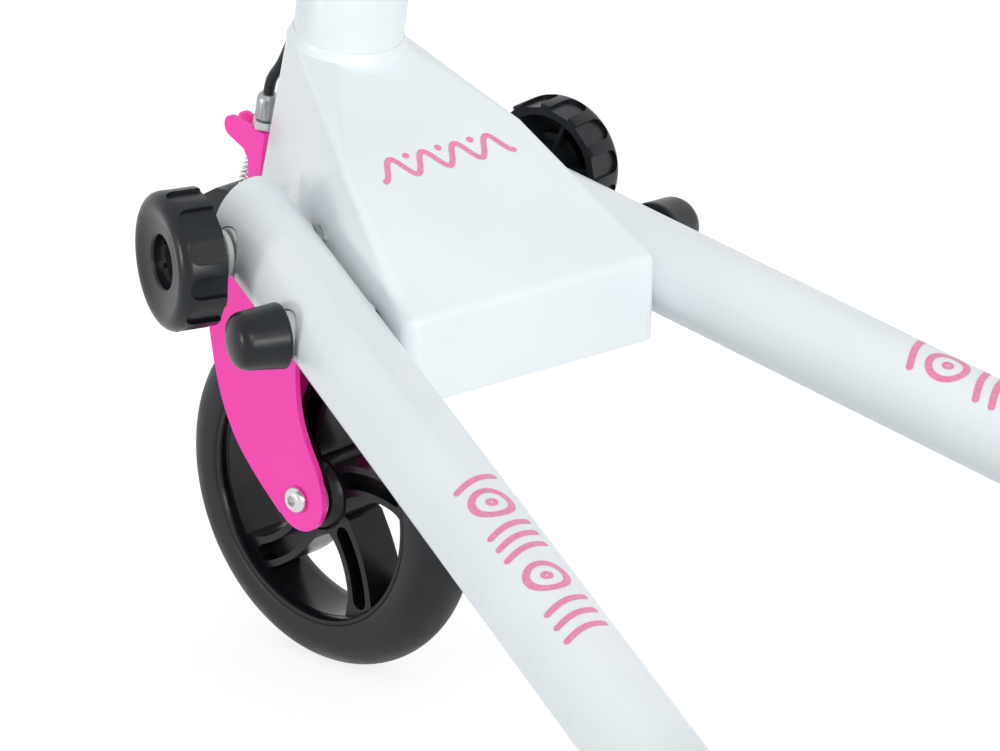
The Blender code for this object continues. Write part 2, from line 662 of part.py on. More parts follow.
brake_arm()
brake_pad()
turned("brake_arm_pin", [(0, 21.6), (4.0, 21.6), (4.4, 19.4), (2.3, 19.4), (2.3, -19.4), (4.4, -19.4),
                         (4.0, -21.6), (0, -21.6)], CHROME, BRAKE_AXIS, turn=ALONG_X, steps=16)


# Front wheel
def spoke_outline(turn_deg, half, start, end, count, flare):
    """Both sides of a swept bar: its middle line turns back as it goes outwards."""
    left, right = [], []
    for i in range(count):
        r = start + (end - start) * i / (count - 1)
        slope = -math.radians(SPOKE_SWIRL)
        a = math.radians(turn_deg + SPOKE_PHASE - SPOKE_SWIRL * (r - 37))
        wide = half + flare * (math.exp(-(r - 13) / 4.0) + math.exp(-(50 - r) / 3.2))
        radial = Vector((math.cos(a), math.sin(a)))
        tangent = (radial + r * slope * Vector((-math.sin(a), math.cos(a)))).normalized()
        normal = Vector((-tangent.y, tangent.x))
        for edge, row in ((1, left), (-1, right)):
            spot = radial * r + normal * wide * edge
            row.append(tuple(spot * min(1, (RIM_R - 1.8) / spot.length)))
    return right + left[::-1]


def pocket_outline(turn_deg):
    """The hollow between the two ribs of a spoke, with round ends."""
    body = spoke_outline(turn_deg, POCKET_HALF, 21.5, 44.5, 4, 0.0)
    first, last = Vector(body[0]), Vector(body[-1])
    far_a, far_b = Vector(body[3]), Vector(body[4])
    near_mid, far_mid = (first + last) / 2, (far_a + far_b) / 2
    near_out = near_mid + (near_mid - far_mid).normalized() * POCKET_HALF
    far_out = far_mid + (far_mid - near_mid).normalized() * POCKET_HALF
    near = [last.lerp(near_out, 0.5) + (near_out - near_mid) * 0.25,
            first.lerp(near_out, 0.5) + (near_out - near_mid) * 0.25]
    far = [far_a.lerp(far_out, 0.5) + (far_out - far_mid) * 0.25,
           far_b.lerp(far_out, 0.5) + (far_out - far_mid) * 0.25]
    return body[:4] + [tuple(p) for p in far] + body[4:] + [tuple(p) for p in near]


def wheel_core():
    """Rim, hub and five swept spokes, each with a hollow between two ribs on either face."""
    rim = [(49.6, RIM_HALF), (RIM_R, RIM_HALF), (RIM_R, 5.4), (RIM_R + 2, 5), (RIM_R + 2, -5),
           (RIM_R, -5.4), (RIM_R, -RIM_HALF), (49.6, -RIM_HALF), (47.6, 0)]
    core = turned("wheel_core", rim, BLACK, FRONT_AXLE, turn=ALONG_X, steps=36, closed=True)
    turns = [360 / SPOKES * i for i in range(SPOKES)]
    for turn in turns:
        bar = as_mesh(plate("spoke", [spoke_outline(turn, SPOKE_HALF, 11.5, 49, 6, 3.2)], 20, BLACK,
                            FRONT_AXLE, turn=SIDE_ON))
        combine(core, bar, "UNION")
    hub = turned("hub", [(0, 13), (13.6, 13), (15, 0), (13.6, -13), (0, -13)], BLACK, FRONT_AXLE,
                 turn=ALONG_X, steps=24)
    combine(core, hub, "UNION")
    for side in (1, -1):
        pockets = as_mesh(plate("pockets", [pocket_outline(t) for t in turns], 8, BLACK, FRONT_AXLE,
                                (side * 7.2, 0, 0), SIDE_ON))
        combine(core, pockets)
        combine(core, cylinder("bearing_seat", BEARING_R + GAP, -3.6, 3.9, FRONT_AXLE,
                               (side * 9.5, 0, 0), ALONG_X))
    combine(core, cylinder("hub_bore", 8, -20, 20, FRONT_AXLE, turn=ALONG_X))
    return core


def tyre():
    """A poured tyre with a round crown, keyed to the rim by a rib."""
    crown = [(WHEEL_R - 15.2 + 15.2 * math.sin(math.radians(a)) ** 0.85,
              14.2 * math.cos(math.radians(a))) for a in range(18, 163, 18)]
    inner = RIM_R + GAP
    profile = [(inner, 12.9), (inner + 1.2, 13.9)] + crown + [(inner + 1.2, -13.9), (inner, -12.9),
               (inner, -5.8), (inner + 2, -5.3), (inner + 2, 5.3), (inner, 5.8)]
    return turned("wheel_tyre", profile, TYRE, FRONT_AXLE, turn=ALONG_X, steps=36, closed=True)


wheel_core()
tyre()
for SIDE, LABEL in ((1, "left"), (-1, "right")):
    LOW, HIGH = sorted((SIDE * 6.0, SIDE * 13.0))
    ring(f"wheel_bearing_{LABEL}", BEARING_R, AXLE_R + GAP, LOW, HIGH, STEEL, FRONT_AXLE, turn=ALONG_X,
         steps=20, ease=0)
    LOW, HIGH = sorted((SIDE * 13.4, SIDE * (BLADE_IN - 0.4)))
    ring(f"axle_spacer_{LABEL}", 7.5, AXLE_R + GAP, LOW, HIGH, STEEL, FRONT_AXLE, turn=ALONG_X,
         steps=16, ease=0)
turned("axle_bolt", [(0, 22.3), (3.2, 22.3), (5.0, 21.0), (5.3, 19.4), (AXLE_R, 19.4), (AXLE_R, -19.4),
                     (5.3, -19.4), (5.0, -21.0), (3.2, -22.3), (0, -22.3)],
       CHROME, FRONT_AXLE, turn=ALONG_X, steps=20)


# Legs
def leg_tube(side, label):
    """A bent tube with two cross sleeves: one for the clamping bolt and one for the locking pin."""
    frame = LEGS[side]
    bend_r = 150.0
    cut = bend_r * math.tan(LEG_DROP / 2)
    points = [(0, -60, 0), (0, LEG_STRAIGHT - cut, 0)]
    for i in range(1, 4):
        a = LEG_DROP * i / 3
        points.append((0, LEG_STRAIGHT - cut + bend_r * math.sin(a), bend_r * (1 - math.cos(a))))
    run = DECK_TUBE
    points.append((0, LEG_STRAIGHT + run * math.cos(LEG_DROP), run * math.sin(LEG_DROP)))
    tube = rod(f"leg_tube_{label}", points, LEG_R, WHITE, frame, resolution=6, caps=False)
    wall = tube.modifiers.new("wall", "SOLIDIFY")
    wall.thickness = LEG_WALL * MM
    wall.offset = -1
    tube = as_mesh(tube)
    front = block("front_cut", (-60, -120, -60), (60, 0, 60), WHITE, frame)
    front.location = vec((0, -LEG_NOSE, 0))
    front.rotation_euler = (LEG_DROP, 0, 0)
    front.rotation_euler.rotate_axis("Z", side * SPLAY)
    combine(tube, front)
    for at, radius, hole in ((0.0, 11.0, BOLT_R), (PIN_AT, 10.2, PIN_R)):
        well_low, well_high = sorted((side * 4.0, side * 40.0))
        combine(tube, cylinder("well", radius + 0.3, well_low, well_high, frame, (0, at, 0), ALONG_X,
                               steps=20))
        low, high = sorted((-side * (LEG_R - 0.6), side * SEAT))
        combine(tube, cylinder("sleeve", radius, low, high, frame, (0, at, 0), ALONG_X, steps=20),
                "UNION")
        combine(tube, cylinder("bore", hole + GAP, -40, 40, frame, (0, at, 0), ALONG_X, steps=16))
    return tube


def leg_plug(side, label):
    """A moulded plug that closes the front end of the leg, flush with its slanted cut."""
    bore = LEG_R - LEG_WALL - GAP
    plug = turned(f"leg_plug_{label}", [(0, 7.5), (bore - 1.5, 7.5), (bore, 6), (bore, -40), (0, -40)],
                  BLACK, LEGS[side], (0, -7, 0), (math.pi / 2, 0, 0), steps=20)
    outside = block("plug_cut", (-60, -120, -60), (60, -1.2, 60), BLACK, LEGS[side])
    outside.location = vec((0, -LEG_NOSE, 0))
    outside.rotation_euler = (LEG_DROP, 0, 0)
    outside.rotation_euler.rotate_axis("Z", side * SPLAY)
    return plug, outside


def knob(side, label):
    """A hollow fluted knob: dished face, thin wall, middle boss and ribs between them."""
    frame = LEGS[side]
    turn = (0, side * math.pi / 2, 0)
    low, high = KNOB_IN, KNOB_OUT
    body = [(0, high - 5), (11, high - 5), (13.0, high), (KNOB_R - 6, high),
            (KNOB_R - 2.0, high - 1.6), (KNOB_R, high - 6), (KNOB_R, low), (21.8, low),
            (21.2, high - 8.5), (10.0, high - 8.5), (10.0, 23.6), (0, 23.6)]
    made = turned(f"knob_{label}", body, BLACK, frame, turn=turn, steps=24)
    ribs = bpy.data.meshes.new("knob_ribs")
    bm = bmesh.new()
    for i in range(3):
        cube = bmesh.ops.create_cube(bm, size=1.0)["verts"]
        bmesh.ops.scale(bm, vec=vec((44.8, 2.0, high - 8.2 - low - 4.0)), verts=cube)
        bmesh.ops.translate(bm, vec=vec((0, 0, (high - 8.2 + low + 4.0) / 2)), verts=cube)
        bmesh.ops.rotate(bm, cent=(0, 0, 0), matrix=Matrix.Rotation(math.pi / 3 * i + 0.2, 3, "Z"),
                         verts=cube)
    bm.to_mesh(ribs)
    bm.free()
    rib_obj = add("ribs", ribs, BLACK, frame, turn=turn)
    rib_core = cylinder("rib_core", 9.0, low + 4.0, high - 8.0, frame, turn=turn)
    combine(rib_core, rib_obj, "UNION")
    combine(made, rib_core, "UNION")
    flute = bpy.data.meshes.new("flutes")
    bm = bmesh.new()
    for i in range(KNOB_FLUTES):
        place = Matrix.Rotation(2 * math.pi * i / KNOB_FLUTES, 4, "Z") @ Matrix.Translation(
            vec((KNOB_R + 2.4, 0, low + 1.0)))
        bmesh.ops.create_cone(bm, cap_ends=True, segments=8, radius1=4.6 * MM, radius2=4.0 * MM,
                              depth=25 * MM, matrix=place)
    bm.to_mesh(flute)
    bm.free()
    combine(made, add("flute_cutters", flute, BLACK, frame, turn=turn))
    combine(made, cylinder("knob_bore", BOLT_R + GAP, 10, 36, frame, turn=turn))
    return made


def knob_bolt(side, label):
    """The clamping bolt, with the round collar that bears on the washer."""
    shape = [(0, 35.5), (BOLT_R, 35.5), (BOLT_R, 23.2), (8.6, 23.2), (9.1, 22.6), (9.1, 17.0),
             (8.6, 16.4), (BOLT_R, 16.4), (BOLT_R, -37.0), (0, -37.0)]
    return turned(f"knob_bolt_{label}", shape, CHROME, LEGS[side], turn=(0, side * math.pi / 2, 0),
                  steps=16)


def pull_pin(side, label):
    """Collar in the leg, sliding pin, and the round cap that is pulled."""
    frame = LEGS[side]
    turn = (0, side * math.pi / 2, 0)
    spot = (0, PIN_AT, 0)
    ring(f"pin_collar_{label}", 8.7, PIN_R + GAP, SEAT + GAP, 18.4, STEEL, frame, spot, turn, steps=20,
         ease=0.8)
    turned(f"pin_plunger_{label}", [(0, 31.2), (3.4, 31.2), (PIN_R, 30.6), (PIN_R, -17.4),
                                    (2.8, -18.6), (0, -18.6)], STEEL, frame, spot, turn, steps=16)
    cap = [(0, 39.4), (6.0, 38.8), (9.9, 36.4), (11.4, 32.6), (12.9, 20.8), (12.5, 19.0), (9.6, 19.0),
           (9.6, 21.6), (PIN_R + GAP, 21.6), (PIN_R + GAP, 31.5), (0, 31.5)]
    turned(f"pin_cap_{label}", cap, BLACK, frame, spot, turn, steps=20)


def footplate(side, label):
    """A tray with a raised edge, ribs below and the boss that holds the caster."""
    frame = DECKS[side]
    top = LEG_R + GAP + DECK_THICK
    middle = top - DECK_THICK / 2
    outline = rounded_box_outline(-DECK_HALF, DECK_HALF, DECK_START, DECK_END, 26, 5)
    tray = as_mesh(plate(f"footplate_{label}", [outline], DECK_THICK, BLACK, frame, (0, 0, middle)))
    inner = rounded_box_outline(-DECK_HALF + 5, DECK_HALF - 5, DECK_START + 5, DECK_END - 5, 22, 5)
    edge = as_mesh(plate("edge", [outline, inner], 4.0, BLACK, frame, (0, 0, top + 1.5)))
    combine(tray, edge, "UNION")
    foot = CASTERS_TOP - DECK_HEIGHT
    boss = turned("caster_boss", [(0, middle), (22, middle), (24, middle - 6), (22, middle - 14),
                                  (21, foot), (0, foot)], BLACK, frame, (0, CASTER_AT, 0), steps=20)
    combine(tray, boss, "UNION")
    for x in (-34, 34):
        rib = block("rib", (x - 1.5, DECK_START + 14, LEG_R - 8), (x + 1.5, DECK_END - 18, middle), BLACK,
                    frame)
        combine(tray, rib, "UNION")
    combine(tray, cylinder("stem_bore", 8 + GAP, foot - 5, middle - 4, frame, (0, CASTER_AT, 0),
                           steps=24))
    return tray


DECK_HEIGHT = PIVOT[2] - LEG_STRAIGHT * math.sin(LEG_DROP)
CASTERS_TOP = 86.8


def caster_fork(side, label):
    """A forked holder on a stem: the wheel trails behind the swivel."""
    frame = CASTERS[side]
    crown = turned(f"caster_fork_{label}", [(0, 112), (7, 112), (8, 111), (8, 86.2), (18, 86.2),
                                            (19, 85.2), (19, 79.5), (18, 78.5), (0, 78.5)], BLACK,
                   frame, steps=20)
    outline = [(-15, 84)] + [(-13, 70), (4, 52)] + arc(CASTER_TRAIL, CASTER_R, 11, 200, 360, 7)
    outline += [(CASTER_TRAIL + 9, 52), (17, 78), (15, 84)]
    for x in (1, -1):
        cheek = as_mesh(plate("cheek", [outline], 3, BLACK, frame, (x * 15.5, 0, 0), SIDE_ON))
        combine(crown, cheek, "UNION")
    bridge = block("bridge", (-17, -14, 79), (17, 15, 84.6), BLACK, frame)
    combine(crown, bridge, "UNION")
    combine(crown, cylinder("axle_bore", 3 + GAP, -30, 30, CASTER_AXLES[side], turn=ALONG_X))
    return crown


def caster_wheel(side, label):
    profile = [(3 + GAP, 12.5), (9.5, 12.5), (12, 8.5), (24, 8.5), (27, 12), (32.5, 11.5), (CASTER_R, 5.5),
               (CASTER_R, -5.5), (32.5, -11.5), (27, -12), (24, -8.5),
               (12, -8.5), (9.5, -12.5), (3 + GAP, -12.5)]
    return turned(f"caster_wheel_{label}", profile, BLACK, CASTER_AXLES[side], turn=ALONG_X, steps=28,
                  closed=True)


for SIDE, LABEL in ((1, "left"), (-1, "right")):
    leg_tube(SIDE, LABEL)
    PLUG, PLUG_CUT = leg_plug(SIDE, LABEL)
    combine(PLUG, PLUG_CUT)
    combine(PLUG, cylinder("plug_room", 11.6, -30, 30, LEGS[SIDE], turn=ALONG_X))
    knob(SIDE, LABEL)
    knob_bolt(SIDE, LABEL)
    LOW, HIGH = sorted((SIDE * (SEAT + GAP), SIDE * 16.0))
    ring(f"knob_washer_{LABEL}", 9.3, BOLT_R + GAP, LOW, HIGH, CHROME, LEGS[SIDE], turn=ALONG_X,
         steps=20, ease=0)
    pull_pin(SIDE, LABEL)
    footplate(SIDE, LABEL)
    caster_fork(SIDE, LABEL)
    caster_wheel(SIDE, LABEL)
    turned(f"caster_bolt_{LABEL}", [(0, 20.2), (4.4, 20.2), (5.0, 17.4), (3, 17.4), (3, -17.4),
                                    (5.0, -17.4), (4.4, -20.2), (0, -20.2)], STEEL,
           CASTER_AXLES[SIDE], turn=ALONG_X, steps=16)
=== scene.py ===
# %% [markdown]
# # A three-wheeled swing scooter
# The rider stands on two long legs and swings from side to side. The photograph looks at the
# front of it from behind and from the rider's left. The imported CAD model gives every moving
# body, its place and its joints. This script dresses those bodies with finer shapes and real
# finishes.

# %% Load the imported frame
import json
import math

import bmesh
import bpy
from mathutils import Matrix, Vector


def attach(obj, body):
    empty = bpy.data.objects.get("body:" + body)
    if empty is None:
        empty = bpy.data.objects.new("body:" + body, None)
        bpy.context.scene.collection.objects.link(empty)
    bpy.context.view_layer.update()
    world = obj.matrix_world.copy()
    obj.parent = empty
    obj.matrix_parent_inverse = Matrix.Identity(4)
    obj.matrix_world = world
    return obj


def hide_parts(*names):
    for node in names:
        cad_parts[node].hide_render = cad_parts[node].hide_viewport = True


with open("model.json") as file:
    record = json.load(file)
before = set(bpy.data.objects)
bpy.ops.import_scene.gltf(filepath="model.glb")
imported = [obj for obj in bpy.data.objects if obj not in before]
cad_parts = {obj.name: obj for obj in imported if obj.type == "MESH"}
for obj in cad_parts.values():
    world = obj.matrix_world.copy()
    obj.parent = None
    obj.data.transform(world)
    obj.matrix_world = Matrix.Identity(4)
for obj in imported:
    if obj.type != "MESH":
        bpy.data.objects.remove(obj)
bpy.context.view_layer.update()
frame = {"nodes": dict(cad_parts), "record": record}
print("CAD nodes:", len(frame["nodes"]))

# %% [markdown]
# ## The frames that the scooter is built in
# A raked steering head is hard to draw in world axes. So each group of parts gets a matrix of
# its own, in which its shapes are simple: the steering axis is Z of one, the wheel's axle is the
# middle of another, and each leg has its own. Sizes are in millimetres, and are the CAD model's.

# %% Sizes that the frames share
MM = 0.001
MIDDLE_Y = 283.7
WHEEL_R = 72.5
RAKE = math.radians(11.7)
STEER_TURN = math.radians(5.3)
AXIS_FOOT = (0.0, -22.3, WHEEL_R)
BRAKE_PIVOT = (0.0, -38.0, 88.0)
PIVOT = (57.0, 38.9, 193.9)
SPLAY = math.radians(15.34)
LEG_DROP = math.radians(14.07)
LEG_STRAIGHT = 363.5
PIN_AT = 59.0
BOLT_R, PIN_R, BORE_GAP = 5.0, 4.0, 0.3


def move(x, y, z):
    return Matrix.Translation(Vector((x, y, z)) * MM)


def turn(degrees, axis):
    return Matrix.Rotation(math.radians(degrees), 4, axis)


# %% The steering head, the front axle and the brake
ROOT = move(0, -MIDDLE_Y, 0)
STEER_AXIS = Vector((0, math.sin(RAKE), math.cos(RAKE)))
FOOT = move(*AXIS_FOOT)
TURNED = FOOT @ Matrix.Rotation(STEER_TURN, 4, STEER_AXIS) @ FOOT.inverted()
HEAD = ROOT @ FOOT @ Matrix.Rotation(-RAKE, 4, "X")
STEER = ROOT @ TURNED @ FOOT @ Matrix.Rotation(-RAKE, 4, "X")
AXLE = ROOT @ TURNED @ move(0, 0, WHEEL_R)
BRAKE = STEER @ move(*BRAKE_PIVOT)
Z_TO_X = Matrix.Rotation(math.pi / 2, 4, "Y")
SIDE_ON = Matrix(((0, 0, 1), (1, 0, 0), (0, 1, 0))).to_4x4()
print("front axle at", [round(c, 4) for c in AXLE.translation])

# %% The two legs
SIDES = {"left": 1, "right": -1}


def leg_frame(side):
    """X across the leg to the rider's left, Y back along it, Z up from it."""
    along = Vector((side * math.sin(SPLAY) * math.cos(LEG_DROP),
                    math.cos(SPLAY) * math.cos(LEG_DROP), -math.sin(LEG_DROP)))
    across = Vector((math.cos(SPLAY), -side * math.sin(SPLAY), 0))
    matrix = Matrix((across, along, across.cross(along))).transposed().to_4x4()
    matrix.translation = ROOT @ (Vector((side * PIVOT[0], PIVOT[1], PIVOT[2])) * MM)
    return matrix


LEG = {name: leg_frame(side) for name, side in SIDES.items()}


def facing(side):
    """Half a turn about Z for the right side, so that a shape drawn for the left faces outwards."""
    return turn(0 if side > 0 else 180, "Z")


def outward(name, back=0.0):
    """Z points out of a leg's side, at a distance back along that leg."""
    return LEG[name] @ move(0, back, 0) @ facing(SIDES[name]) @ Z_TO_X


for name in SIDES:
    print(name, "leg hinge at", [round(c, 4) for c in LEG[name].translation])

# %% [markdown]
# ## The camera
# The photograph was matched: the round wheel, the straight tubes and the box's corners
# give one place from which they all line up. It is a long lens, a little over two metres away.

# %% Camera
CAMERA_AT = Vector((1273.2, 1629.8 - MIDDLE_Y, 852.2)) * MM
RIGHT = Vector((-0.76610, 0.64269, -0.00630))
UP = Vector((-0.21952, -0.25244, 0.94238))
LENS = 202.6

camera = bpy.data.objects.new("camera", bpy.data.cameras.new("camera"))
bpy.context.scene.collection.objects.link(camera)
camera.data.sensor_width = 36
camera.data.lens = LENS
camera.data.clip_start = 0.05
view_frame = Matrix((RIGHT, UP, RIGHT.cross(UP))).transposed().to_4x4()
view_frame.translation = CAMERA_AT
camera.matrix_world = view_frame
bpy.context.scene.camera = camera
bpy.context.scene.view_settings.view_transform = "Standard"
print("camera", round((CAMERA_AT - AXLE.translation).length, 3), "m from the wheel")

# %% [markdown]
# ## Materials
# Each finish is a small tree of nodes. One function adds a node, sets it and links it, and one
# turns the hex colours that people use into the linear ones that the shader wants.

# %% Helpers for materials
def linear(hex_colour):
    """An sRGB hex colour as the linear RGBA that a shader reads."""
    values = [int(hex_colour[i:i + 2], 16) / 255 for i in (1, 3, 5)]
    return tuple(v / 12.92 if v <= 0.04045 else ((v + 0.055) / 1.055) ** 2.4 for v in values) + (1.0,)


def add_node(tree, kind, inputs=None, **settings):
    """Adds a node, sets it, and links or fills its inputs."""
    node = tree.nodes.new("ShaderNode" + kind)
    for name, value in settings.items():
        setattr(node, name, value)
    for name, value in (inputs or {}).items():
        if isinstance(value, bpy.types.NodeSocket):
            tree.links.new(value, node.inputs[name])
        else:
            node.inputs[name].default_value = value
    return node


def new_material(name, **values):
    """A material with its Principled shader's constants set. Gives material, tree and shader."""
    material = bpy.data.materials.new(name)
    material.use_nodes = True
    tree = material.node_tree
    shader = tree.nodes["Principled BSDF"]
    for key, value in values.items():
        shader.inputs[key.replace("_", " ")].default_value = value
    return material, tree, shader


def link_ramp(tree, shader, noise, *stops):
    """Colours a shader by a noise, between two stops of (position, hex colour)."""
    ramp = add_node(tree, "ValToRGB", {"Fac": noise.outputs["Fac"]})
    for element, (position, colour) in zip(ramp.color_ramp.elements, stops):
        element.position = position
        element.color = linear(colour)
    tree.links.new(ramp.outputs["Color"], shader.inputs["Base Color"])


def link_bump(tree, shader, noise, strength, depth_mm):
    bump = add_node(tree, "Bump", {"Height": noise.outputs["Fac"], "Strength": strength,
                                   "Distance": depth_mm * MM})
    tree.links.new(bump.outputs["Normal"], shader.inputs["Normal"])


def grain_scale(size_mm):
    """The Scale of a noise whose lumps are about this many millimetres across."""
    return 1.0 / (size_mm * MM)


# %% [markdown]
# ### Powder coat
# The frame's steel is sprayed with polyester powder and baked. The powder flows into a hard,
# half-glossy skin with a very slight orange peel, lumps of one to two millimetres that only show
# where a lamp is mirrored. White and pink are the same finish in two colours. The pink also gets a
# faint emission in its own colour: a painted glow that makes it look more brightly lit.

# %% Powder coat
def powder_coat(name, deep, light, roughness, coat=0.25, glow=0.0):
    # glow sets a painted glow: emission in the deep colour that brightens the coat as more light would.
    material, tree, shader = new_material(name, IOR=1.5, Coat_Weight=coat, Coat_Roughness=0.12,
                                          Emission_Color=linear(deep), Emission_Strength=glow)
    place = add_node(tree, "TexCoord").outputs["Object"]
    clouds = add_node(tree, "TexNoise", {"Vector": place, "Scale": grain_scale(60), "Detail": 2.0})
    link_ramp(tree, shader, clouds, (0.3, deep), (0.7, light))
    fine = add_node(tree, "TexNoise", {"Vector": place, "Scale": grain_scale(9), "Detail": 3.0})
    gloss = add_node(tree, "MapRange", {"Value": fine.outputs["Fac"], "To Min": roughness - 0.05,
                                        "To Max": roughness + 0.06})
    tree.links.new(gloss.outputs["Result"], shader.inputs["Roughness"])
    peel = add_node(tree, "TexNoise", {"Vector": place, "Scale": grain_scale(1.6), "Detail": 1.0})
    link_bump(tree, shader, peel, 0.05, 0.4)
    return material


WHITE_COAT = powder_coat("white_powder_coat", "#EBF1F3", "#F1F6F7", 0.34)
# The pink's glow of 0.1 is a painted glow that makes it look more brightly lit.
PINK_COAT = powder_coat("pink_powder_coat", "#FF30AE", "#FF3CB4", 0.38, coat=0.1, glow=0.1)
print("powder coats:", WHITE_COAT.name, PINK_COAT.name)

# %% [markdown]
# ### Moulded plastic, tyre and grip rubber
# The knobs, caps and wheel core are black nylon and polypropylene, moulded in a tool whose walls
# were spark eroded: a fine even grain with a soft sheen. The grain breaks up the mirror image, so
# the index is set lower than the solid plastic's. The tyre is poured polyurethane, a little
# greyer. The grips are soft rubber, duller again. Washers and flanges are undyed nylon.

# %% Plastics and rubber
def moulded(name, dark, light, roughness, grain_mm, depth, sheen=0.0, scuff=0.0):
    material, tree, shader = new_material(name, IOR=1.38, Sheen_Weight=sheen)
    place = add_node(tree, "TexCoord").outputs["Object"]
    patches = add_node(tree, "TexNoise", {"Vector": place, "Scale": grain_scale(22), "Detail": 5.0,
                                          "Roughness": 0.6})
    link_ramp(tree, shader, patches, (0.42, dark), (0.72, light))
    gloss = add_node(tree, "MapRange", {"Value": patches.outputs["Fac"], "From Min": 0.35,
                                        "From Max": 0.7, "To Min": roughness - 0.04,
                                        "To Max": roughness + 0.08 + scuff})
    tree.links.new(gloss.outputs["Result"], shader.inputs["Roughness"])
    grain = add_node(tree, "TexNoise", {"Vector": place, "Scale": grain_scale(grain_mm), "Detail": 2.0})
    link_bump(tree, shader, grain, 0.12, depth)
    return material


BLACK_NYLON = moulded("spark_textured_nylon", "#14171A", "#1B1F23", 0.3, 0.5, 0.05)
GLOSS_CORE = moulded("glossy_wheel_nylon", "#0F1013", "#15161A", 0.22, 0.8, 0.03)
TYRE_PU = moulded("poured_polyurethane", "#17181B", "#232427", 0.42, 0.7, 0.05, scuff=0.12)
GRIP_RUBBER = moulded("grip_rubber", "#191A1B", "#232425", 0.62, 0.4, 0.08, sheen=0.15)
PALE_NYLON = moulded("pale_nylon_washer", "#C3C7C4", "#CFD3D0", 0.36, 0.6, 0.02)
print("plastics:", BLACK_NYLON.name, GLOSS_CORE.name, TYRE_PU.name, GRIP_RUBBER.name, PALE_NYLON.name)

# %% [markdown]
# ### Plated and plain steel
# Bolts, the barrel of the brake and the spring are nickel or zinc plated. Plating is smooth, so
# only faint rubbing marks show. Turned steel keeps the fine rings of the lathe.

# %% Metals
def plated(name, colour, roughness, marks_mm, spread):
    material, tree, shader = new_material(name, Metallic=1.0)
    shader.inputs["Base Color"].default_value = linear(colour)
    place = add_node(tree, "TexCoord").outputs["Object"]
    rubs = add_node(tree, "TexNoise", {"Vector": place, "Scale": grain_scale(marks_mm), "Detail": 4.0})
    gloss = add_node(tree, "MapRange", {"Value": rubs.outputs["Fac"], "From Min": 0.3, "From Max": 0.7,
                                        "To Min": roughness, "To Max": roughness + spread})
    tree.links.new(gloss.outputs["Result"], shader.inputs["Roughness"])
    link_bump(tree, shader, rubs, 0.06, 0.1)
    return material


NICKEL = plated("nickel_plate", "#D9D9D6", 0.12, 2.5, 0.14)
ZINC = plated("zinc_plated_steel", "#C9CDCB", 0.42, 1.5, 0.12)
TURNED_STEEL = plated("turned_steel", "#A9ABAB", 0.32, 0.8, 0.12)
print("metals:", NICKEL.name, ZINC.name, TURNED_STEEL.name)

# %% [markdown]
# ### Printed film
# The box and the legs of the real scooter carry a pink print. Here it is a plain playful pattern:
# a wave on the box, and rings with slanted bars on the legs.

# %% Print
def film(name, thin, full):
    material, tree, shader = new_material(name, IOR=1.5, Roughness=0.38)
    place = add_node(tree, "TexCoord").outputs["Object"]
    specks = add_node(tree, "TexNoise", {"Vector": place, "Scale": grain_scale(1.2), "Detail": 3.0})
    link_ramp(tree, shader, specks, (0.3, thin), (0.6, full))
    return material


PRINT_INK = film("pink_print_film", "#F29DBB", "#EE84A9")
print("print:", PRINT_INK.name)

# %% [markdown]
# ## How a piece is made
# Shapes start as a bmesh in millimetres, in their own frame: a profile that is spun, an outline
# that is pulled out, or a ring that is drawn along a path. Cuts and joins are Boolean modifiers
# that are applied at once. At the end the frame's matrix puts the points where the CAD says, so
# the object itself sits at the origin.

# %% Shapes from operators
def only(kind, geometry):
    return [g for g in geometry if isinstance(g, kind)]


def spun(profile, steps=96, closed=False):
    """A profile of (radius, height) spun round Z."""
    bm = bmesh.new()
    verts = [bm.verts.new((r, 0, z)) for r, z in profile]
    pairs = list(zip(verts, verts[1:])) + ([(verts[-1], verts[0])] if closed else [])
    edges = [bm.edges.new(pair) for pair in pairs]
    bmesh.ops.spin(bm, geom=verts + edges, cent=(0, 0, 0), axis=(0, 0, 1), angle=2 * math.pi,
                   steps=steps, use_merge=True, use_duplicate=False)
    return tidy(bm)


def slab(outline, low, high):
    """A flat outline in the XY plane, pulled out from one height to another."""
    bm = bmesh.new()
    face = bm.faces.new([bm.verts.new((x, y, low)) for x, y in outline])
    pulled = bmesh.ops.extrude_face_region(bm, geom=[face])["geom"]
    bmesh.ops.translate(bm, vec=(0, 0, high - low), verts=only(bmesh.types.BMVert, pulled))
    return tidy(bm)


def drawn(path, radius, sides):
    """A round bar drawn along a path of points; its ring doesn't twist on the way."""
    points = [Vector(p) for p in path]
    bm = bmesh.new()
    ring = bmesh.ops.create_circle(bm, segments=sides, radius=radius, cap_ends=True)["verts"]
    edges = bm.edges[:]
    flat = [v.co.copy() for v in ring]
    normal = Vector((1, 0, 0))
    first = (points[1] - points[0]).normalized()
    normal = (normal - first * normal.dot(first)).normalized()
    for i, point in enumerate(points):
        ahead = points[min(i + 1, len(points) - 1)] - points[max(i - 1, 0)]
        tangent = ahead.normalized()
        normal = (normal - tangent * normal.dot(tangent)).normalized()
        basis = Matrix((normal, tangent.cross(normal), tangent)).transposed()
        if i:
            made = bmesh.ops.extrude_edge_only(bm, edges=edges)["geom"]
            ring = only(bmesh.types.BMVert, made)
            edges = only(bmesh.types.BMEdge, made)
        for vert, home in zip(ring, flat):
            vert.co = point + basis @ home
    bmesh.ops.contextual_create(bm, geom=edges)
    return tidy(bm)


def tidy(bm):
    """Merges doubles and turns every face outwards."""
    bmesh.ops.remove_doubles(bm, verts=bm.verts, dist=0.0005)
    bmesh.ops.recalc_face_normals(bm, faces=bm.faces)
    if bm.calc_volume(signed=True) < 0:
        bmesh.ops.reverse_faces(bm, faces=bm.faces)
    return bm


def block(low, high):
    bm = bmesh.new()
    bmesh.ops.create_cube(bm, size=1.0)
    size = Vector(high) - Vector(low)
    bmesh.ops.scale(bm, vec=size, verts=bm.verts)
    bmesh.ops.translate(bm, vec=Vector(low) + size / 2, verts=bm.verts)
    return bm


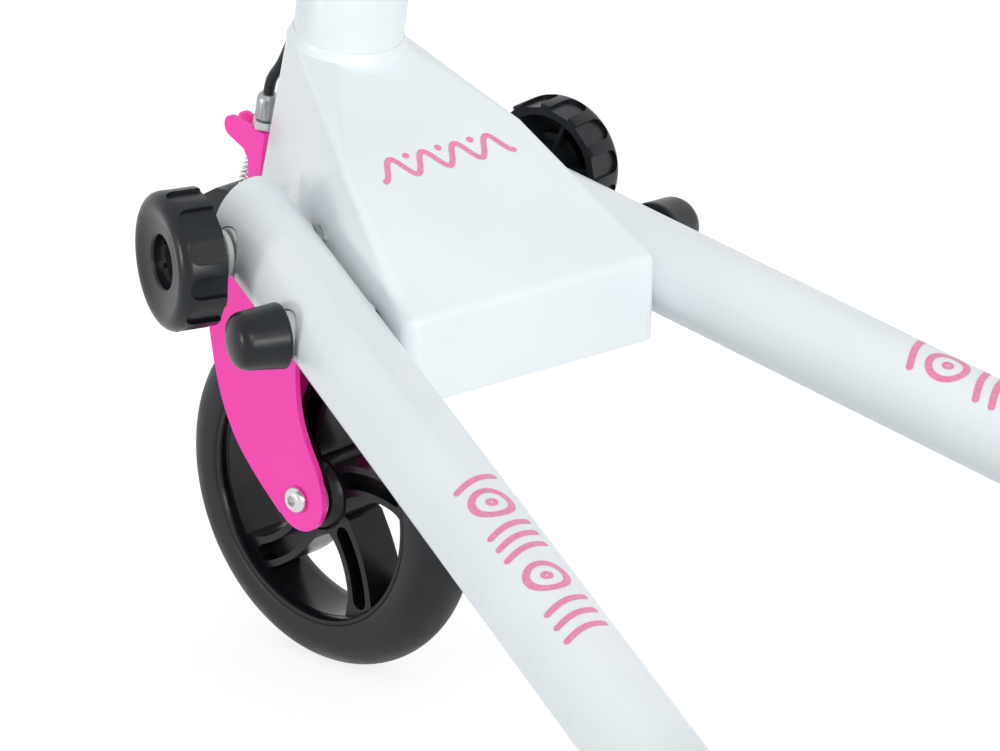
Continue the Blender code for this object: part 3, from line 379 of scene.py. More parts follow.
def bar(radius, low, high, steps=64):
    return spun([(0, high), (radius, high), (radius, low), (0, low)], steps)


def arc(cx, cy, radius, start, end, count):
    """Points on an arc in degrees, both ends included."""
    step = (end - start) / (count - 1)
    angles = [math.radians(start + step * i) for i in range(count)]
    return [(cx + radius * math.cos(a), cy + radius * math.sin(a)) for a in angles]


def hexagon(radius, turned=0):
    return arc(0, 0, radius, turned, turned + 300, 6)


def curve_through(points, spacing, closed=False):
    """Evenly spaced points on a smooth curve through the given ones, flat or in space."""
    knots = [Vector(p) for p in points]
    if closed:
        knots = [knots[-1]] + knots + knots[:2]
    else:
        knots = [knots[0] * 2 - knots[1]] + knots + [knots[-1] * 2 - knots[-2]]
    dense = []
    for a, b, c, d in zip(knots, knots[1:], knots[2:], knots[3:]):
        for i in range(40):
            t = i / 40
            dense.append(0.5 * (2 * b + (c - a) * t + (2 * a - 5 * b + 4 * c - d) * t ** 2
                                + (3 * b - a - 3 * c + d) * t ** 3))
    dense.append(knots[-2])
    total = sum((q - p).length for p, q in zip(dense, dense[1:]))
    count = max(2, round(total / spacing))
    path, run = [dense[0]], 0.0
    for p, q in zip(dense, dense[1:]):
        run += (q - p).length
        if run >= total / count * len(path) - 1e-6 and len(path) < count:
            path.append(q)
    path.append(dense[-1])
    return [tuple(p) for p in (path[:-1] if closed else path)]


# %% Cuts, joins and the last steps
def body_of(bm, place=Matrix.Identity(4)):
    """A temporary object from a bmesh in millimetres."""
    bm.transform(place @ Matrix.Scale(MM, 4))
    mesh = bpy.data.meshes.new("raw")
    bm.to_mesh(mesh)
    bm.free()
    obj = bpy.data.objects.new("raw", mesh)
    bpy.context.scene.collection.objects.link(obj)
    return obj


def settle(obj):
    """Applies the modifiers of an object to its mesh."""
    bpy.context.view_layer.update()
    mesh = bpy.data.meshes.new_from_object(obj.evaluated_get(bpy.context.evaluated_depsgraph_get()))
    old = obj.data
    obj.modifiers.clear()
    obj.data = mesh
    bpy.data.meshes.remove(old)
    return obj


def combined(obj, tools, operation="DIFFERENCE", solver="EXACT"):
    """Cuts an object with others, or joins them to it."""
    for tool in tools:
        mod = obj.modifiers.new("combine", "BOOLEAN")
        mod.operation = operation
        mod.solver = solver
        mod.object = tool
    settle(obj)
    for tool in tools:
        mesh = tool.data
        bpy.data.objects.remove(tool, do_unlink=True)
        bpy.data.meshes.remove(mesh)
    return obj


def carved(obj, *tools):
    """Cuts closed solids from a closed solid, with the solver that is made for them."""
    return combined(obj, tools, solver="MANIFOLD")


def fused(obj, *tools):
    """Joins closed solids to a closed solid with the same solver."""
    return combined(obj, tools, "UNION", "MANIFOLD")


def eased(obj, width, segments=3, angle=35.0):
    """Rounds the sharp edges with a live Bevel modifier."""
    mod = obj.modifiers.new("eased edges", "BEVEL")
    mod.width = width * MM
    mod.segments = segments
    mod.limit_method = "ANGLE"
    mod.angle_limit = math.radians(angle)
    mod.harden_normals = True
    mod.miter_outer = "MITER_ARC"
    return obj


def dressed(obj, name, body, finish, nodes=(), crisp=35.0):
    """Names the piece, gives it its finish and its body, and hides the CAD nodes it stands for."""
    obj.name = name
    obj.data.name = name
    obj.data.shade_smooth()
    obj.data.set_sharp_from_angle(angle=math.radians(crisp))
    obj.data.materials.clear()
    obj.data.materials.append(finish)
    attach(obj, body)
    if nodes:
        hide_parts(*nodes)
    print(f"{name}: {len(obj.data.polygons)} faces on {body}")
    return obj


# %% [markdown]
# ## Head tube, weld collar and headset
# A straight tube holds the headset cups. Where it leaves the box, a bead of weld was ground and
# painted over, and stands up as a soft lip.

# %% Head tube and cups
HEAD_R = 21.0
head = body_of(spun([(18, 251), (20.6, 251), (HEAD_R, 250.4), (HEAD_R, 111.6), (20.6, 111), (18, 111)],
                    closed=True), HEAD)
dressed(head, "head_tube_painted", "body", WHITE_COAT, ["head_tube"])
RING_Z = 259.0
COLLAR_S = (RING_Z - WHEEL_R) / math.cos(RAKE)
lip = [(0.05, 3.9), (0.4, 3.85), (0.7, 3.5), (0.9, 2.9), (1.1, 2.0), (1.5, 1.1), (2.0, 0.3), (2.3, -0.5),
       (2.2, -1.6), (1.7, -3.6), (0.05, -3.6)]
collar = body_of(spun([(HEAD_R + r, COLLAR_S + z) for r, z in lip], closed=True), HEAD)
dressed(collar, "weld_lip", "body", WHITE_COAT, ["weld_collar"])
lower = body_of(spun([(14.3, 119), (17.6, 119), (17.6, 110.7), (20.4, 110.7), (20.9, 110), (20.6, 107),
                      (20.2, 104.9), (19.6, 104.4), (14.3, 104.4)], closed=True), HEAD)
dressed(lower, "lower_headset_cup", "body", NICKEL, ["lower_cup"])
upper = body_of(spun([(14.3, 257), (19.2, 257), (20.4, 256.4), (20.9, 255), (20.9, 251.9), (20.4, 251.3),
                      (17.6, 251.3), (17.6, 243), (14.3, 243)], closed=True), HEAD)
dressed(upper, "upper_headset_cup", "body", BLACK_NYLON, ["upper_cup"])

# %% [markdown]
# ## The box
# Folded sheet steel, welded and sanded smooth, so that its faces run into each other over soft
# edges. Its skin is the hull of a few corners: the round nose under the head tube, the ring where
# the tube comes out, the ridge and the tail. A ball sits in each corner of the ridge and the tail,
# so that the hull is round over the folds. Solidify gives the sheet its thickness.

# %% Corners of the box
REAR_Y = 127.0
REAR_HALF = 62.0
REAR_LOW, REAR_HIGH = 154.5, 187.0
UNDER_SLOPE = 0.25
TOP_SLOPE = 0.72
WALL_SLOPE = 0.2935
RIDGE_Y = 68.0
NOSE_R, NOSE_Z = 28.0, 193.0
RING_R = 22.9
SHEET = 2.2
FOLD, CORNER, RIDGE_BALL = 5.5, 8.0, 2.6
# The slanted cheek between the nose and the left wall faces this way.
CHEEK_FACES = (0.9276, -0.336, 0.163)


def under_z(y):
    return REAR_LOW + UNDER_SLOPE * (REAR_Y - y)


def top_z(y):
    return REAR_HIGH + TOP_SLOPE * (REAR_Y - y)


def wall_x(y):
    return REAR_HALF - WALL_SLOPE * (REAR_Y - y)


def axis_y(z):
    return AXIS_FOOT[1] + (z - WHEEL_R) * math.tan(RAKE)


TOP = Vector((0, TOP_SLOPE, 1)).normalized()
REAR = Vector((0, 1, 0))
UNDER = Vector((0, UNDER_SLOPE, 1)).normalized()
WALLS = {side: Vector((side, -WALL_SLOPE, 0)).normalized() for side in (1, -1)}
HEAD_FRAME = move(*AXIS_FOOT) @ Matrix.Rotation(-RAKE, 4, "X")
HEAD_FRAME = Matrix.Translation(HEAD_FRAME.translation / MM) @ HEAD_FRAME.to_3x3().to_4x4()


def ring_points(radius, count=96):
    """Round the head tube: square to it in front, and down on the flat top behind."""
    points = []
    for i in range(count):
        a = 2 * math.pi * (i + 0.5) / count
        foot = HEAD_FRAME @ Vector((radius * math.sin(a), radius * math.cos(a), 0))
        to_top = (top_z(foot.y) - foot.z) / (STEER_AXIS.z + TOP_SLOPE * STEER_AXIS.y)
        points.append(foot + STEER_AXIS * min(to_top, COLLAR_S))
    return points


def inside(corner, normals, radius):
    """The middle of a ball that touches the planes that meet in a corner."""
    rows = Matrix([tuple(n) for n in normals])
    return rows.inverted() @ Vector([n.dot(Vector(corner)) - radius for n in normals])


print("ring points:", len(ring_points(RING_R)))

# %% Skin of the box
bm = bmesh.new()
for point in ring_points(RING_R):
    bm.verts.new(point)
for degrees in range(-36, 37, 3):
    a = math.radians(degrees)
    nose = Vector((NOSE_R * math.sin(a), axis_y(NOSE_Z) - NOSE_R * math.cos(a), 0))
    nose.z = under_z(nose.y)
    bm.verts.new(nose)
    bm.verts.new(nose - Vector((0, 0, 12)))
for side, wall in WALLS.items():
    tail = (side * REAR_HALF, REAR_Y, REAR_HIGH)
    below = inside(tail, (REAR, wall, Vector((0, 0, 1))), CORNER)
    below.z = REAR_LOW - 30
    ridge = (side * wall_x(RIDGE_Y), RIDGE_Y, top_z(RIDGE_Y))
    cheek = Vector((side * CHEEK_FACES[0], *CHEEK_FACES[1:])).normalized()
    balls = ((inside(tail, (TOP, REAR, wall), FOLD), FOLD), (below, CORNER),
             (inside(ridge, (TOP, wall, cheek), RIDGE_BALL), RIDGE_BALL))
    for middle, size in balls:
        bmesh.ops.create_icosphere(bm, subdivisions=4, radius=size, matrix=Matrix.Translation(middle))
hull = bmesh.ops.convex_hull(bm, input=bm.verts)
loose = set(only(bmesh.types.BMVert, hull["geom_interior"] + hull["geom_unused"]))
bmesh.ops.delete(bm, geom=list(loose), context="VERTS")
bmesh.ops.bisect_plane(bm, geom=bm.verts[:] + bm.edges[:] + bm.faces[:], dist=0.0001,
                       plane_co=(0, REAR_Y, REAR_LOW), plane_no=-UNDER, clear_outer=True)
tidy(bm)
box = body_of(bm, ROOT)
sheet = box.modifiers.new("sheet", "SOLIDIFY")
sheet.thickness = SHEET * MM
sheet.offset = -1
sheet.use_even_offset = True
settle(box)
holes = [body_of(bar(HEAD_R + 0.2, 60, 300), HEAD)]
for name, side in SIDES.items():
    wall_at = LEG[name] @ move(-side * 20, 0, 0)
    holes.append(body_of(bar(BOLT_R + BORE_GAP, -30, 30, 32), wall_at @ Z_TO_X))
    holes.append(body_of(bar(PIN_R + BORE_GAP, -8, 8, 32), wall_at @ move(0, PIN_AT, 0) @ Z_TO_X))
combined(box, holes)
dressed(box, "box_sheet", "body", WHITE_COAT, ["box_shell"], crisp=40)

# %% [markdown]
# ## Fork, race and axle bolt
# One plate of steel is stamped, bent into an upside-down U and welded to the steerer. Seen from
# the side each blade is a curved leaf that narrows to a round end at the axle. So the U is drawn
# from the front and trimmed with the outline from the side.

# %% Fork
BLADE_IN, BLADE_OUT = 16.5, 19.0
CROWN_S = 96.0
WEB_Y = -33.6
BLADE_EDGE = [(-52, 101), (-53.5, 88), (-49.5, 72), (-47, 55), (-45, 43), (-41, 29), (-34, 15.5),
              (-23, 3), (-11, -8)]
BLADE_BACK = [(14.0, 4), (11.3, 14), (6.6, 23), (2.8, 33), (1.2, 44), (1.8, 58), (6.5, 76), (15, 92)]


def bent_plate(inset):
    """The upside-down U seen from the front: its outer line or its inner one."""
    half, top, bend = BLADE_OUT - inset, CROWN_S - inset, 7.0 - inset
    line = [(-half, -40)] + arc(-half + bend, top - bend, bend, 180, 90, 9)
    return line + arc(half - bend, top - bend, bend, 90, 0, 9) + [(half, -40)]


u_shape = slab(bent_plate(0) + bent_plate(BLADE_OUT - BLADE_IN)[::-1], -100, 100)
fork = body_of(u_shape, STEER @ turn(90, "X"))
front = curve_through(BLADE_EDGE, 3.0)
back = curve_through(BLADE_BACK, 3.0)
leaf = body_of(slab(front + arc(0.6, 0.5, 13.5, 222, 366, 25) + back + [(20, 118), (-30, 124)], -40, 40),
               AXLE @ SIDE_ON)
combined(fork, [leaf], "INTERSECT")
brake_notch = block((-12, -70, CROWN_S - 20), (12, WEB_Y + 2.4, CROWN_S + 30))
combined(fork, [body_of(brake_notch, STEER)])
race = bar(19, CROWN_S - 1.5, 103.6)
combined(fork, [body_of(race, STEER)], "UNION")
combined(fork, [body_of(bar(14.3, 60, 130), STEER), body_of(bar(4.3, -40, 40), AXLE @ Z_TO_X),
                body_of(bar(2.8, -40, 40), BRAKE @ Z_TO_X)])
eased(fork, 0.7, 3, 40)
dressed(fork, "fork_plate", "steering", PINK_COAT, ["fork"])

# %% Axle bolt with a hexagon socket
AXLE_R = 4.0
head_curve = [(0, 22.4), (3.6, 22.4)] + arc(2.6, 19.6, 2.9, 62, 4, 8) + [(5.45, 19.4), (AXLE_R, 19.4)]
bolt = body_of(spun(head_curve + [(r, -z) for r, z in head_curve[::-1]], 64), AXLE @ Z_TO_X)
sockets = []
for half_turn in (0, 180):
    sockets.append(body_of(slab(hexagon(2.35, 12), 20.4, 26), AXLE @ Z_TO_X @ turn(half_turn, "Y")))
combined(bolt, sockets)
eased(bolt, 0.18, 2, 40)
dressed(bolt, "axle_bolt_button", "steering", NICKEL, ["axle_bolt"])

# %% [markdown]
# ## Front wheel
# The core is moulded nylon. Its five spokes sweep backwards as they go out, and each is a pair of
# ribs with a hollow between them, so that no wall of the moulding is thick. The core is a spun
# disc: five windows are cut through it, and a pocket in each side of each spoke.

# %% Wheel core
RIM_R = 53.0
RIM_HALF = 13.4
SPOKES = 5
SPOKE_HALF = 6.2
POCKET_HALF = 3.5
SPOKE_PHASE = 17.0
SPOKE_SWIRL = 0.62


def spoke_sides(middle_deg, half, start, end, count, flare):
    """Both sides of a swept spoke in the plane of the wheel, wider near the hub and the rim."""
    left, right = [], []
    for i in range(count):
        r = start + (end - start) * i / (count - 1)
        a = math.radians(middle_deg + SPOKE_PHASE - SPOKE_SWIRL * (r - 37))
        wide = half + flare * (math.exp(-(r - 13) / 4.0) + math.exp(-(51.5 - r) / 2.4))
        radial = Vector((math.cos(a), math.sin(a)))
        tangent = (radial - r * math.radians(SPOKE_SWIRL) * Vector((-radial.y, radial.x))).normalized()
        normal = Vector((-tangent.y, tangent.x))
        for edge, row in ((1, left), (-1, right)):
            spot = radial * r + normal * wide * edge
            row.append(tuple(spot * min(1, (RIM_R - 1.8) / spot.length)))
    return right + left[::-1]


def pocket_line(middle_deg):
    """The hollow of a spoke, with round ends."""
    count = 10
    sides = spoke_sides(middle_deg, POCKET_HALF, 20.5, 46.0, count, 0.0)
    right, left = [Vector(p) for p in sides[:count]], [Vector(p) for p in sides[count:]]
    ends = []
    for a, b in ((right[-1], left[0]), (left[-1], right[0])):
        middle, reach = (a + b) / 2, (a - b).length / 2
        start = math.degrees(math.atan2(a.y - middle.y, a.x - middle.x))
        ends.append([Vector(p) for p in arc(middle.x, middle.y, reach, start, start + 180, 11)[1:-1]])
    return [tuple(p) for p in right + ends[0] + left + ends[1]]


WEB_HALF = 9.0
half_line = [(0, 13), (12.0, 13), (13.2, 12.4), (14.4, 11.2), (15.6, WEB_HALF), (50.6, WEB_HALF),
             (50.8, 12.2), (51.5, RIM_HALF), (RIM_R, RIM_HALF), (RIM_R, 5.4), (55, 5)]
core = body_of(spun(half_line + [(r, -z) for r, z in half_line[::-1]], 180), AXLE @ Z_TO_X)
MIDDLES = [360 / SPOKES * i for i in range(SPOKES)]
WINDOW_IN, WINDOW_OUT = 17.0, 50.4


def window_line(first_deg, second_deg):
    """The gap between two spokes: up one, round the rim, down the next and back round the hub."""
    count = 30
    up = spoke_sides(first_deg, SPOKE_HALF, 17, 49.6, count, 2.6)[count:][::-1]
    down = spoke_sides(second_deg, SPOKE_HALF, 17, 49.6, count, 2.6)[:count][::-1]
    lines = []
    for here, there, radius in ((up[-1], down[0], WINDOW_OUT), (down[-1], up[0], WINDOW_IN)):
        start = math.degrees(math.atan2(here[1], here[0]))
        end = math.degrees(math.atan2(there[1], there[0]))
        if radius == WINDOW_OUT and end < start:
            end += 360
        if radius == WINDOW_IN and end > start:
            end -= 360
        lines.append(arc(0, 0, radius, start, end, 24)[1:-1])
    return up + lines[0] + down + lines[1]


windows = [body_of(slab(window_line(m, m + 360 / SPOKES), -20, 20), AXLE @ SIDE_ON) for m in MIDDLES]
carved(core, *windows)
pockets = []
for middle in MIDDLES:
    for low, high in ((2.6, 16), (-16, -2.6)):
        pockets.append(body_of(slab(pocket_line(middle), low, high), AXLE @ SIDE_ON))
carved(core, *pockets)
seats = [body_of(bar(11.3, low, low + 8, 64), AXLE @ Z_TO_X) for low in (5.9, -13.9)]
carved(core, *seats, body_of(bar(8, -20, 20), AXLE @ Z_TO_X))
eased(core, 1.1, 4, 40)
dressed(core, "wheel_core_nylon", "front_wheel", GLOSS_CORE, ["wheel_core"])

# %% Tyre, bearings and spacers
crown = [(WHEEL_R - 15.2 + 15.2 * math.sin(math.radians(a)) ** 0.85, 14.2 * math.cos(math.radians(a)))
         for a in range(8, 173, 4)]
tyre_line = [(53.1, 12.9), (53.5, 13.6), (54.6, 14.0)] + crown + [(54.6, -14.0), (53.5, -13.6), (53.1, -12.9),
             (53.1, -5.6), (55.1, -5.1), (55.1, 5.1), (53.1, 5.6)]
tyre = body_of(spun(tyre_line, 160, closed=True), AXLE @ Z_TO_X)
dressed(tyre, "tyre_poured", "front_wheel", TYRE_PU, ["wheel_tyre"], crisp=50)
for name, side in SIDES.items():
    out = AXLE @ facing(side) @ Z_TO_X
    bearing = body_of(spun([(4.2, 13), (6.2, 13), (6.4, 12.6), (9.2, 12.6), (9.4, 13), (10.7, 13), (11, 12.7),
                            (11, 6), (4.2, 6)], 64, closed=True), out)
    dressed(bearing, f"bearing_{name}", "front_wheel", TURNED_STEEL, [f"wheel_bearing_{name}"])
    spacer = body_of(spun([(4.3, 15.6), (7.2, 15.6), (7.5, 15.3), (7.5, 13.7), (7.2, 13.4), (4.3, 13.4)], 64,
                          closed=True), out)
    dressed(spacer, f"spacer_{name}", "steering", ZINC, [f"axle_spacer_{name}"])

# %% [markdown]
# ## Brake in front of the head tube
# The bracket is folded from one strip: a web, two flanges and two round ears. A barrel adjuster
# stands on its top and ends the cable's sleeve. Below it the inner wire runs through the return
# spring to the nose of the arm.

# %% Brake bracket
BRACKET_TOP = 136.0
CABLE_Y = -38.2


def bracket():
    half, strip, foot = 4.4, 1.8, CROWN_S - 2
    web = body_of(block((-half, WEB_Y - strip, foot), (half, WEB_Y, BRACKET_TOP)), STEER)
    ear = [(WEB_Y - 0.4, 104), (WEB_Y - 0.4, BRACKET_TOP), (-42.8, BRACKET_TOP)]
    ear += arc(-51.6, 131.8, 4.4, 75, 250, 21) + [(-44.0, 125.4), (-41.2, 122.2), (-40.0, 117), (-39.4, 108)]
    flanges = [body_of(slab(ear, low, low + strip), STEER @ SIDE_ON) for low in (half - strip, -half)]
    shelf = block((-half + 0.2, -42.8, BRACKET_TOP - 2.2), (half - 0.2, WEB_Y - 0.4, BRACKET_TOP - 0.2))
    combined(web, flanges + [body_of(shelf, STEER)], "UNION")
    return combined(web, [body_of(bar(1.6, 120, 150, 32), STEER @ move(0, CABLE_Y, 0))])


strap = eased(bracket(), 0.45, 3, 40)
dressed(strap, "brake_bracket_folded", "steering", PINK_COAT, ["brake_bracket"])

# %% Barrel adjuster, locknut and spring
nut_place = STEER @ move(0, CABLE_Y, BRACKET_TOP + 0.3)
locknut = combined(body_of(slab(hexagon(5.1), 0, 3.4), nut_place), [body_of(bar(1.9, -2, 8, 32), nut_place)])
eased(locknut, 0.35, 2, 40)
dressed(locknut, "adjuster_locknut", "steering", ZINC, ["adjuster_nut"])
barrel_line = [(1.6, 14.6), (3.0, 14.6), (3.9, 13.6), (4.3, 12.2), (4.4, 5.2), (4.0, 4.4), (3.6, 3.6),
               (1.6, 3.6)]
barrel = body_of(spun(barrel_line, 64, closed=True), nut_place)
combined(barrel, [body_of(bar(0.5, 5.6, 11.4, 12), nut_place @ turn(24 * i, "Z") @ move(4.65, 0, 0))
                  for i in range(15)])
dressed(barrel, "barrel_adjuster", "steering", TURNED_STEEL, ["cable_adjuster"])
SPRING_R, SPRING_WIRE, SPRING_TURNS, PER_TURN = 1.75, 0.45, 10, 24
spring_foot, spring_head = Vector((0, -46.6, 108.6)), Vector((0, -41.3, 131.0))
first_way = Vector((1, 0, 0))
second_way = (spring_head - spring_foot).normalized().cross(first_way)
coil = []
for i in range(SPRING_TURNS * PER_TURN + 1):
    a = 2 * math.pi * i / PER_TURN
    spot = spring_foot.lerp(spring_head, i / (SPRING_TURNS * PER_TURN))
    coil.append(spot + SPRING_R * (math.cos(a) * first_way + math.sin(a) * second_way))
spring = body_of(drawn(coil, SPRING_WIRE, 10), STEER)
dressed(spring, "return_spring", "steering", NICKEL, ["brake_spring"], crisp=60)

# %% Brake cable
CABLE_ROUTE = [(-117, -25, 795), (-98, -25.5, 795.5), (-70, -33, 793), (-38, -45, 770), (-14, -44, 715),
               (-4, -32, 640), (0, -24, 560), (0, -21.2, 480), (0, -21.2, 380), (-2.4, -25.4, 320),
               (-4.2, -27.2, 283), (-4.6, -26.3, 250), (-4.5, -25.9, 215), (-2.8, -27.9, 190),
               (-0.6, -32.6, 168), (0, -37.2, 158), (0, CABLE_Y, 151.4)]
cable = body_of(drawn(curve_through(CABLE_ROUTE, 3.0), 2.2, 20), STEER)
dressed(cable, "brake_cable_sleeve", "steering", BLACK_NYLON, ["brake_cable"], crisp=60)

# %% [markdown]
# ## Brake arm and pad
# The arm is a moulded lever on a pin between the blades. Its nose is forked round the cable's
# anchor, and its heel carries the pad over the tyre.

# %% Brake arm, pad and pin
WHEEL_FROM_PIVOT = (59.8, -83.5)
BRAKE_TRAVEL = math.radians(7.5)
nose = [(-12, -3), (-22, 2), (-24.6, 6), (-22, 11), (-14.5, 17.5), (-9, 18.9), (-5, 18), (-3.2, 13),
        (-2.4, 8)]
heel = [(8, -2), (26, -4.3), (29.4, -7)]
arm_line = nose + arc(0, 0, 6.0, 80, 10, 9) + heel + arc(*WHEEL_FROM_PIVOT, 78.4, 112.5, 137, 15)
arm = body_of(slab(arm_line, -8.5, 8.5), BRAKE @ SIDE_ON)
slot_tool = combined(body_of(block((-4.9, -30, 4), (4.9, -0.5, 24)), BRAKE),
                     [body_of(block((-5.0, -21.5, 3.8), (5.0, -4.6, 18.2)), BRAKE)])
combined(arm, [slot_tool, body_of(bar(2.6, -20, 20, 48), BRAKE @ Z_TO_X)])
eased(arm, 0.8, 3, 35)
dressed(arm, "brake_arm_moulded", "brake_arm", BLACK_NYLON, ["brake_arm"])
y, z = WHEEL_FROM_PIVOT
pressed = (y * math.cos(BRAKE_TRAVEL) - z * math.sin(BRAKE_TRAVEL),
           y * math.sin(BRAKE_TRAVEL) + z * math.cos(BRAKE_TRAVEL))
pad_line = arc(y, z, 78.1, 113.5, 132, 13) + arc(y, z, 74.2, 132, 124, 7)
pad_line += arc(*pressed, 72.8, 130, 124.5, 7)
pad = eased(body_of(slab(pad_line, -10, 10), BRAKE @ SIDE_ON), 0.5, 2, 40)
dressed(pad, "brake_pad_rubber", "brake_arm", GRIP_RUBBER, ["brake_pad"])
pin_half = [(0, 21.6), (3.4, 21.6), (4.2, 20.9), (4.4, 19.4), (2.3, 19.4)]
pin = body_of(spun(pin_half + [(r, -z) for r, z in pin_half[::-1]], 48), BRAKE @ Z_TO_X)
dressed(pin, "brake_arm_cross_pin", "steering", NICKEL, ["brake_arm_pin"])

# %% [markdown]
# ## Legs
# Each leg is one steel tube with a single bend. Its front end is sawn square to the scooter, not
# to the tube, and closed by a plastic plug. Two steel sleeves cross it: one for the clamping bolt,
# one for the locking pin. On the outer side each ends in a flat seat, sunk a little below the
# tube's crown.

# %% Leg tubes
LEG_R, LEG_WALL, LEG_NOSE = 17.4, 2.0, 17.6
DECK_TUBE, BEND_R = 176.0, 150.0
SEAT, SLEEVE_R = 13.6, 7.2


def leg_path(front, back_run):
    cut = BEND_R * math.tan(LEG_DROP / 2)
    path = [(0, front, 0), (0, LEG_STRAIGHT - cut, 0)]
    for i in range(1, 13):
        a = LEG_DROP * i / 12
        path.append((0, LEG_STRAIGHT - cut + BEND_R * math.sin(a), BEND_R * (1 - math.cos(a))))
    path.append((0, LEG_STRAIGHT + back_run * math.cos(LEG_DROP), back_run * math.sin(LEG_DROP)))
    return path


def front_cut(name, side, y_high):
    """Everything in front of the sawn end of a leg, in that leg's own frame."""
    tool = body_of(block((-60, -120, -60), (60, y_high, 60)))
    level = Matrix.Rotation(LEG_DROP, 4, "X") @ turn(side * math.degrees(SPLAY), "Z")
    tool.data.transform(LEG[name] @ move(0, -LEG_NOSE, 0) @ level)
    return tool


for name, side in SIDES.items():
    tube = body_of(drawn(leg_path(-60, DECK_TUBE), LEG_R, 96), LEG[name])
    hollow = body_of(drawn(leg_path(-70, DECK_TUBE + 10), LEG_R - LEG_WALL, 96), LEG[name])
    carved(tube, hollow, front_cut(name, side, 0))
    for back, radius, bore in ((0.0, 9.8, BOLT_R), (PIN_AT, 9.2, PIN_R)):
        out = outward(name, back)
        carved(tube, body_of(bar(radius, 4, 40), out))
        fused(tube, body_of(bar(radius + 0.7, 0, SEAT), out))
        fused(tube, body_of(bar(SLEEVE_R, -(LEG_R - 0.7), 2), out))
        carved(tube, body_of(bar(bore + BORE_GAP, -40, 40, 48), out))
    eased(tube, 0.5, 3, 40)
    dressed(tube, f"leg_tube_painted_{name}", f"leg_{name}", WHITE_COAT,
            [f"leg_tube_{name}"])
    plug_r = LEG_R - LEG_WALL - 0.1
    plug = body_of(spun([(0, 40), (plug_r, 40), (plug_r, -6), (plug_r - 1.5, -7.5), (0, -7.5)], 96),
                   LEG[name] @ move(0, -7, 0) @ turn(90, "X"))
    carved(plug, front_cut(name, side, -1.2), body_of(bar(11.6, -30, 30), LEG[name] @ Z_TO_X))
    eased(plug, 0.6, 3, 40)
    dressed(plug, f"leg_end_plug_{name}", f"leg_{name}", BLACK_NYLON,
            [f"leg_plug_{name}"])
    washer_line = [(5.3, 19.4), (6.0, 19.4), (6.3, 19.1), (6.3, 18.1), (6.0, 17.8), (5.3, 17.8)]
    washer = body_of(spun(washer_line, 64, closed=True), LEG[name] @ facing(-side) @ Z_TO_X)
    dressed(washer, f"spacer_washer_{name}", "body", TURNED_STEEL,
            [f"pivot_washer_{name}"])

# %% [markdown]
# ## Clamping knobs and pull pins
# The knob is a hollow moulding: a face with a cup in its middle, a fluted skirt, a boss and ribs
# between them. A flute is a flat-bottomed groove, open towards the leg and round at its other
# end. The pull pin has a tapered cap with a rounded crown.

# %% Knobs
KNOB_R, KNOB_IN, KNOB_OUT = 26.6, 26.4, 44.8
KNOB_FLUTES, FLUTE_DEPTH, FLUTE_HALF = 12, 1.8, 4.6
BOSS_R = 9.2
# Turns a slab so that it grows outwards from the knob's axis.
RADIAL = Matrix(((0, 0, 1), (0, -1, 0), (1, 0, 0))).to_4x4()


def knob_shape(place):
    low, high = KNOB_IN, KNOB_OUT
    face = [(0, high - 7.2), (8.6, high - 7.0), (9.7, high - 6.5), (10.3, high - 5.4)]
    face += arc(11.5, high - 3.0, 1.2, 180, 92, 5)
    face += [(14.5, high - 1.5), (17.5, high - 0.8), (19.6, high - 0.25)]
    face += arc(KNOB_R - 5.2, high - 5.2, 5.2, 94, 0, 12)
    skirt = [(KNOB_R, low + 1.0), (KNOB_R - 0.3, low + 0.3), (KNOB_R - 1.0, low), (22.0, low),
             (21.6, low + 0.4), (21.2, high - 6.6), (12.8, high - 6.2), (12.6, high - 10.0),
             (10.0, high - 10.4), (10.0, 24.2), (BOSS_R, 23.6), (0, 23.6)]
    made = body_of(spun(face + skirt, 180), place)
    ribs = [body_of(block((-22.0, -0.8, low + 3), (22.0, 0.8, high - 5.8)), place @ turn(60 * i + 12, "Z"))
            for i in range(3)]
    boss = body_of(bar(BOSS_R, low + 3, high - 8.4, 64), place)
    for rib in ribs:
        fused(boss, rib)
    fused(made, boss)
    carved(made, body_of(bar(8.8, high - 7.1, high + 1), place))
    outline = [(low - 4, -FLUTE_HALF)] + arc(high - 7.8, 0, FLUTE_HALF, -90, 90, 17) + [(low - 4, FLUTE_HALF)]
    flutes = [body_of(slab(outline, KNOB_R - FLUTE_DEPTH, KNOB_R + 4),
                      place @ turn(360 / KNOB_FLUTES * i + 6, "Z") @ RADIAL) for i in range(KNOB_FLUTES)]
    carved(made, *flutes)
    return carved(made, body_of(bar(BOLT_R + BORE_GAP, 10, 35.9, 48), place))


for name in SIDES:
    out = outward(name)
    knob = eased(knob_shape(out), 0.8, 3, 30)
    dressed(knob, f"knob_fluted_{name}", f"knob_{name}", BLACK_NYLON, [f"knob_{name}"])
    shank = [(0, 35.5), (4.6, 35.5), (BOLT_R, 35.1), (BOLT_R, 22.4), (6.2, 22.4), (6.6, 22.0), (6.6, 19.7),
             (BOLT_R, 19.7), (BOLT_R, -36.4), (4.4, -37.0), (0, -37.0)]
    dressed(body_of(spun(shank, 64), out), f"clamping_bolt_{name}", f"knob_{name}", NICKEL,
            [f"knob_bolt_{name}"])
    flange = [(5.2, 19.5), (8.4, 19.5), (8.9, 19.1), (8.9, 17.4), (8.4, 17.0), (5.2, 17.0)]
    dressed(body_of(spun(flange, 64, closed=True), out), f"knob_flange_{name}", f"knob_{name}", PALE_NYLON)
    thin = [(5.3, 16.0), (8.9, 16.0), (9.3, 15.7), (9.3, 14.2), (8.9, 13.9), (5.3, 13.9)]
    dressed(body_of(spun(thin, 64, closed=True), out), f"washer_{name}", f"leg_{name}", PALE_NYLON,
            [f"knob_washer_{name}"])

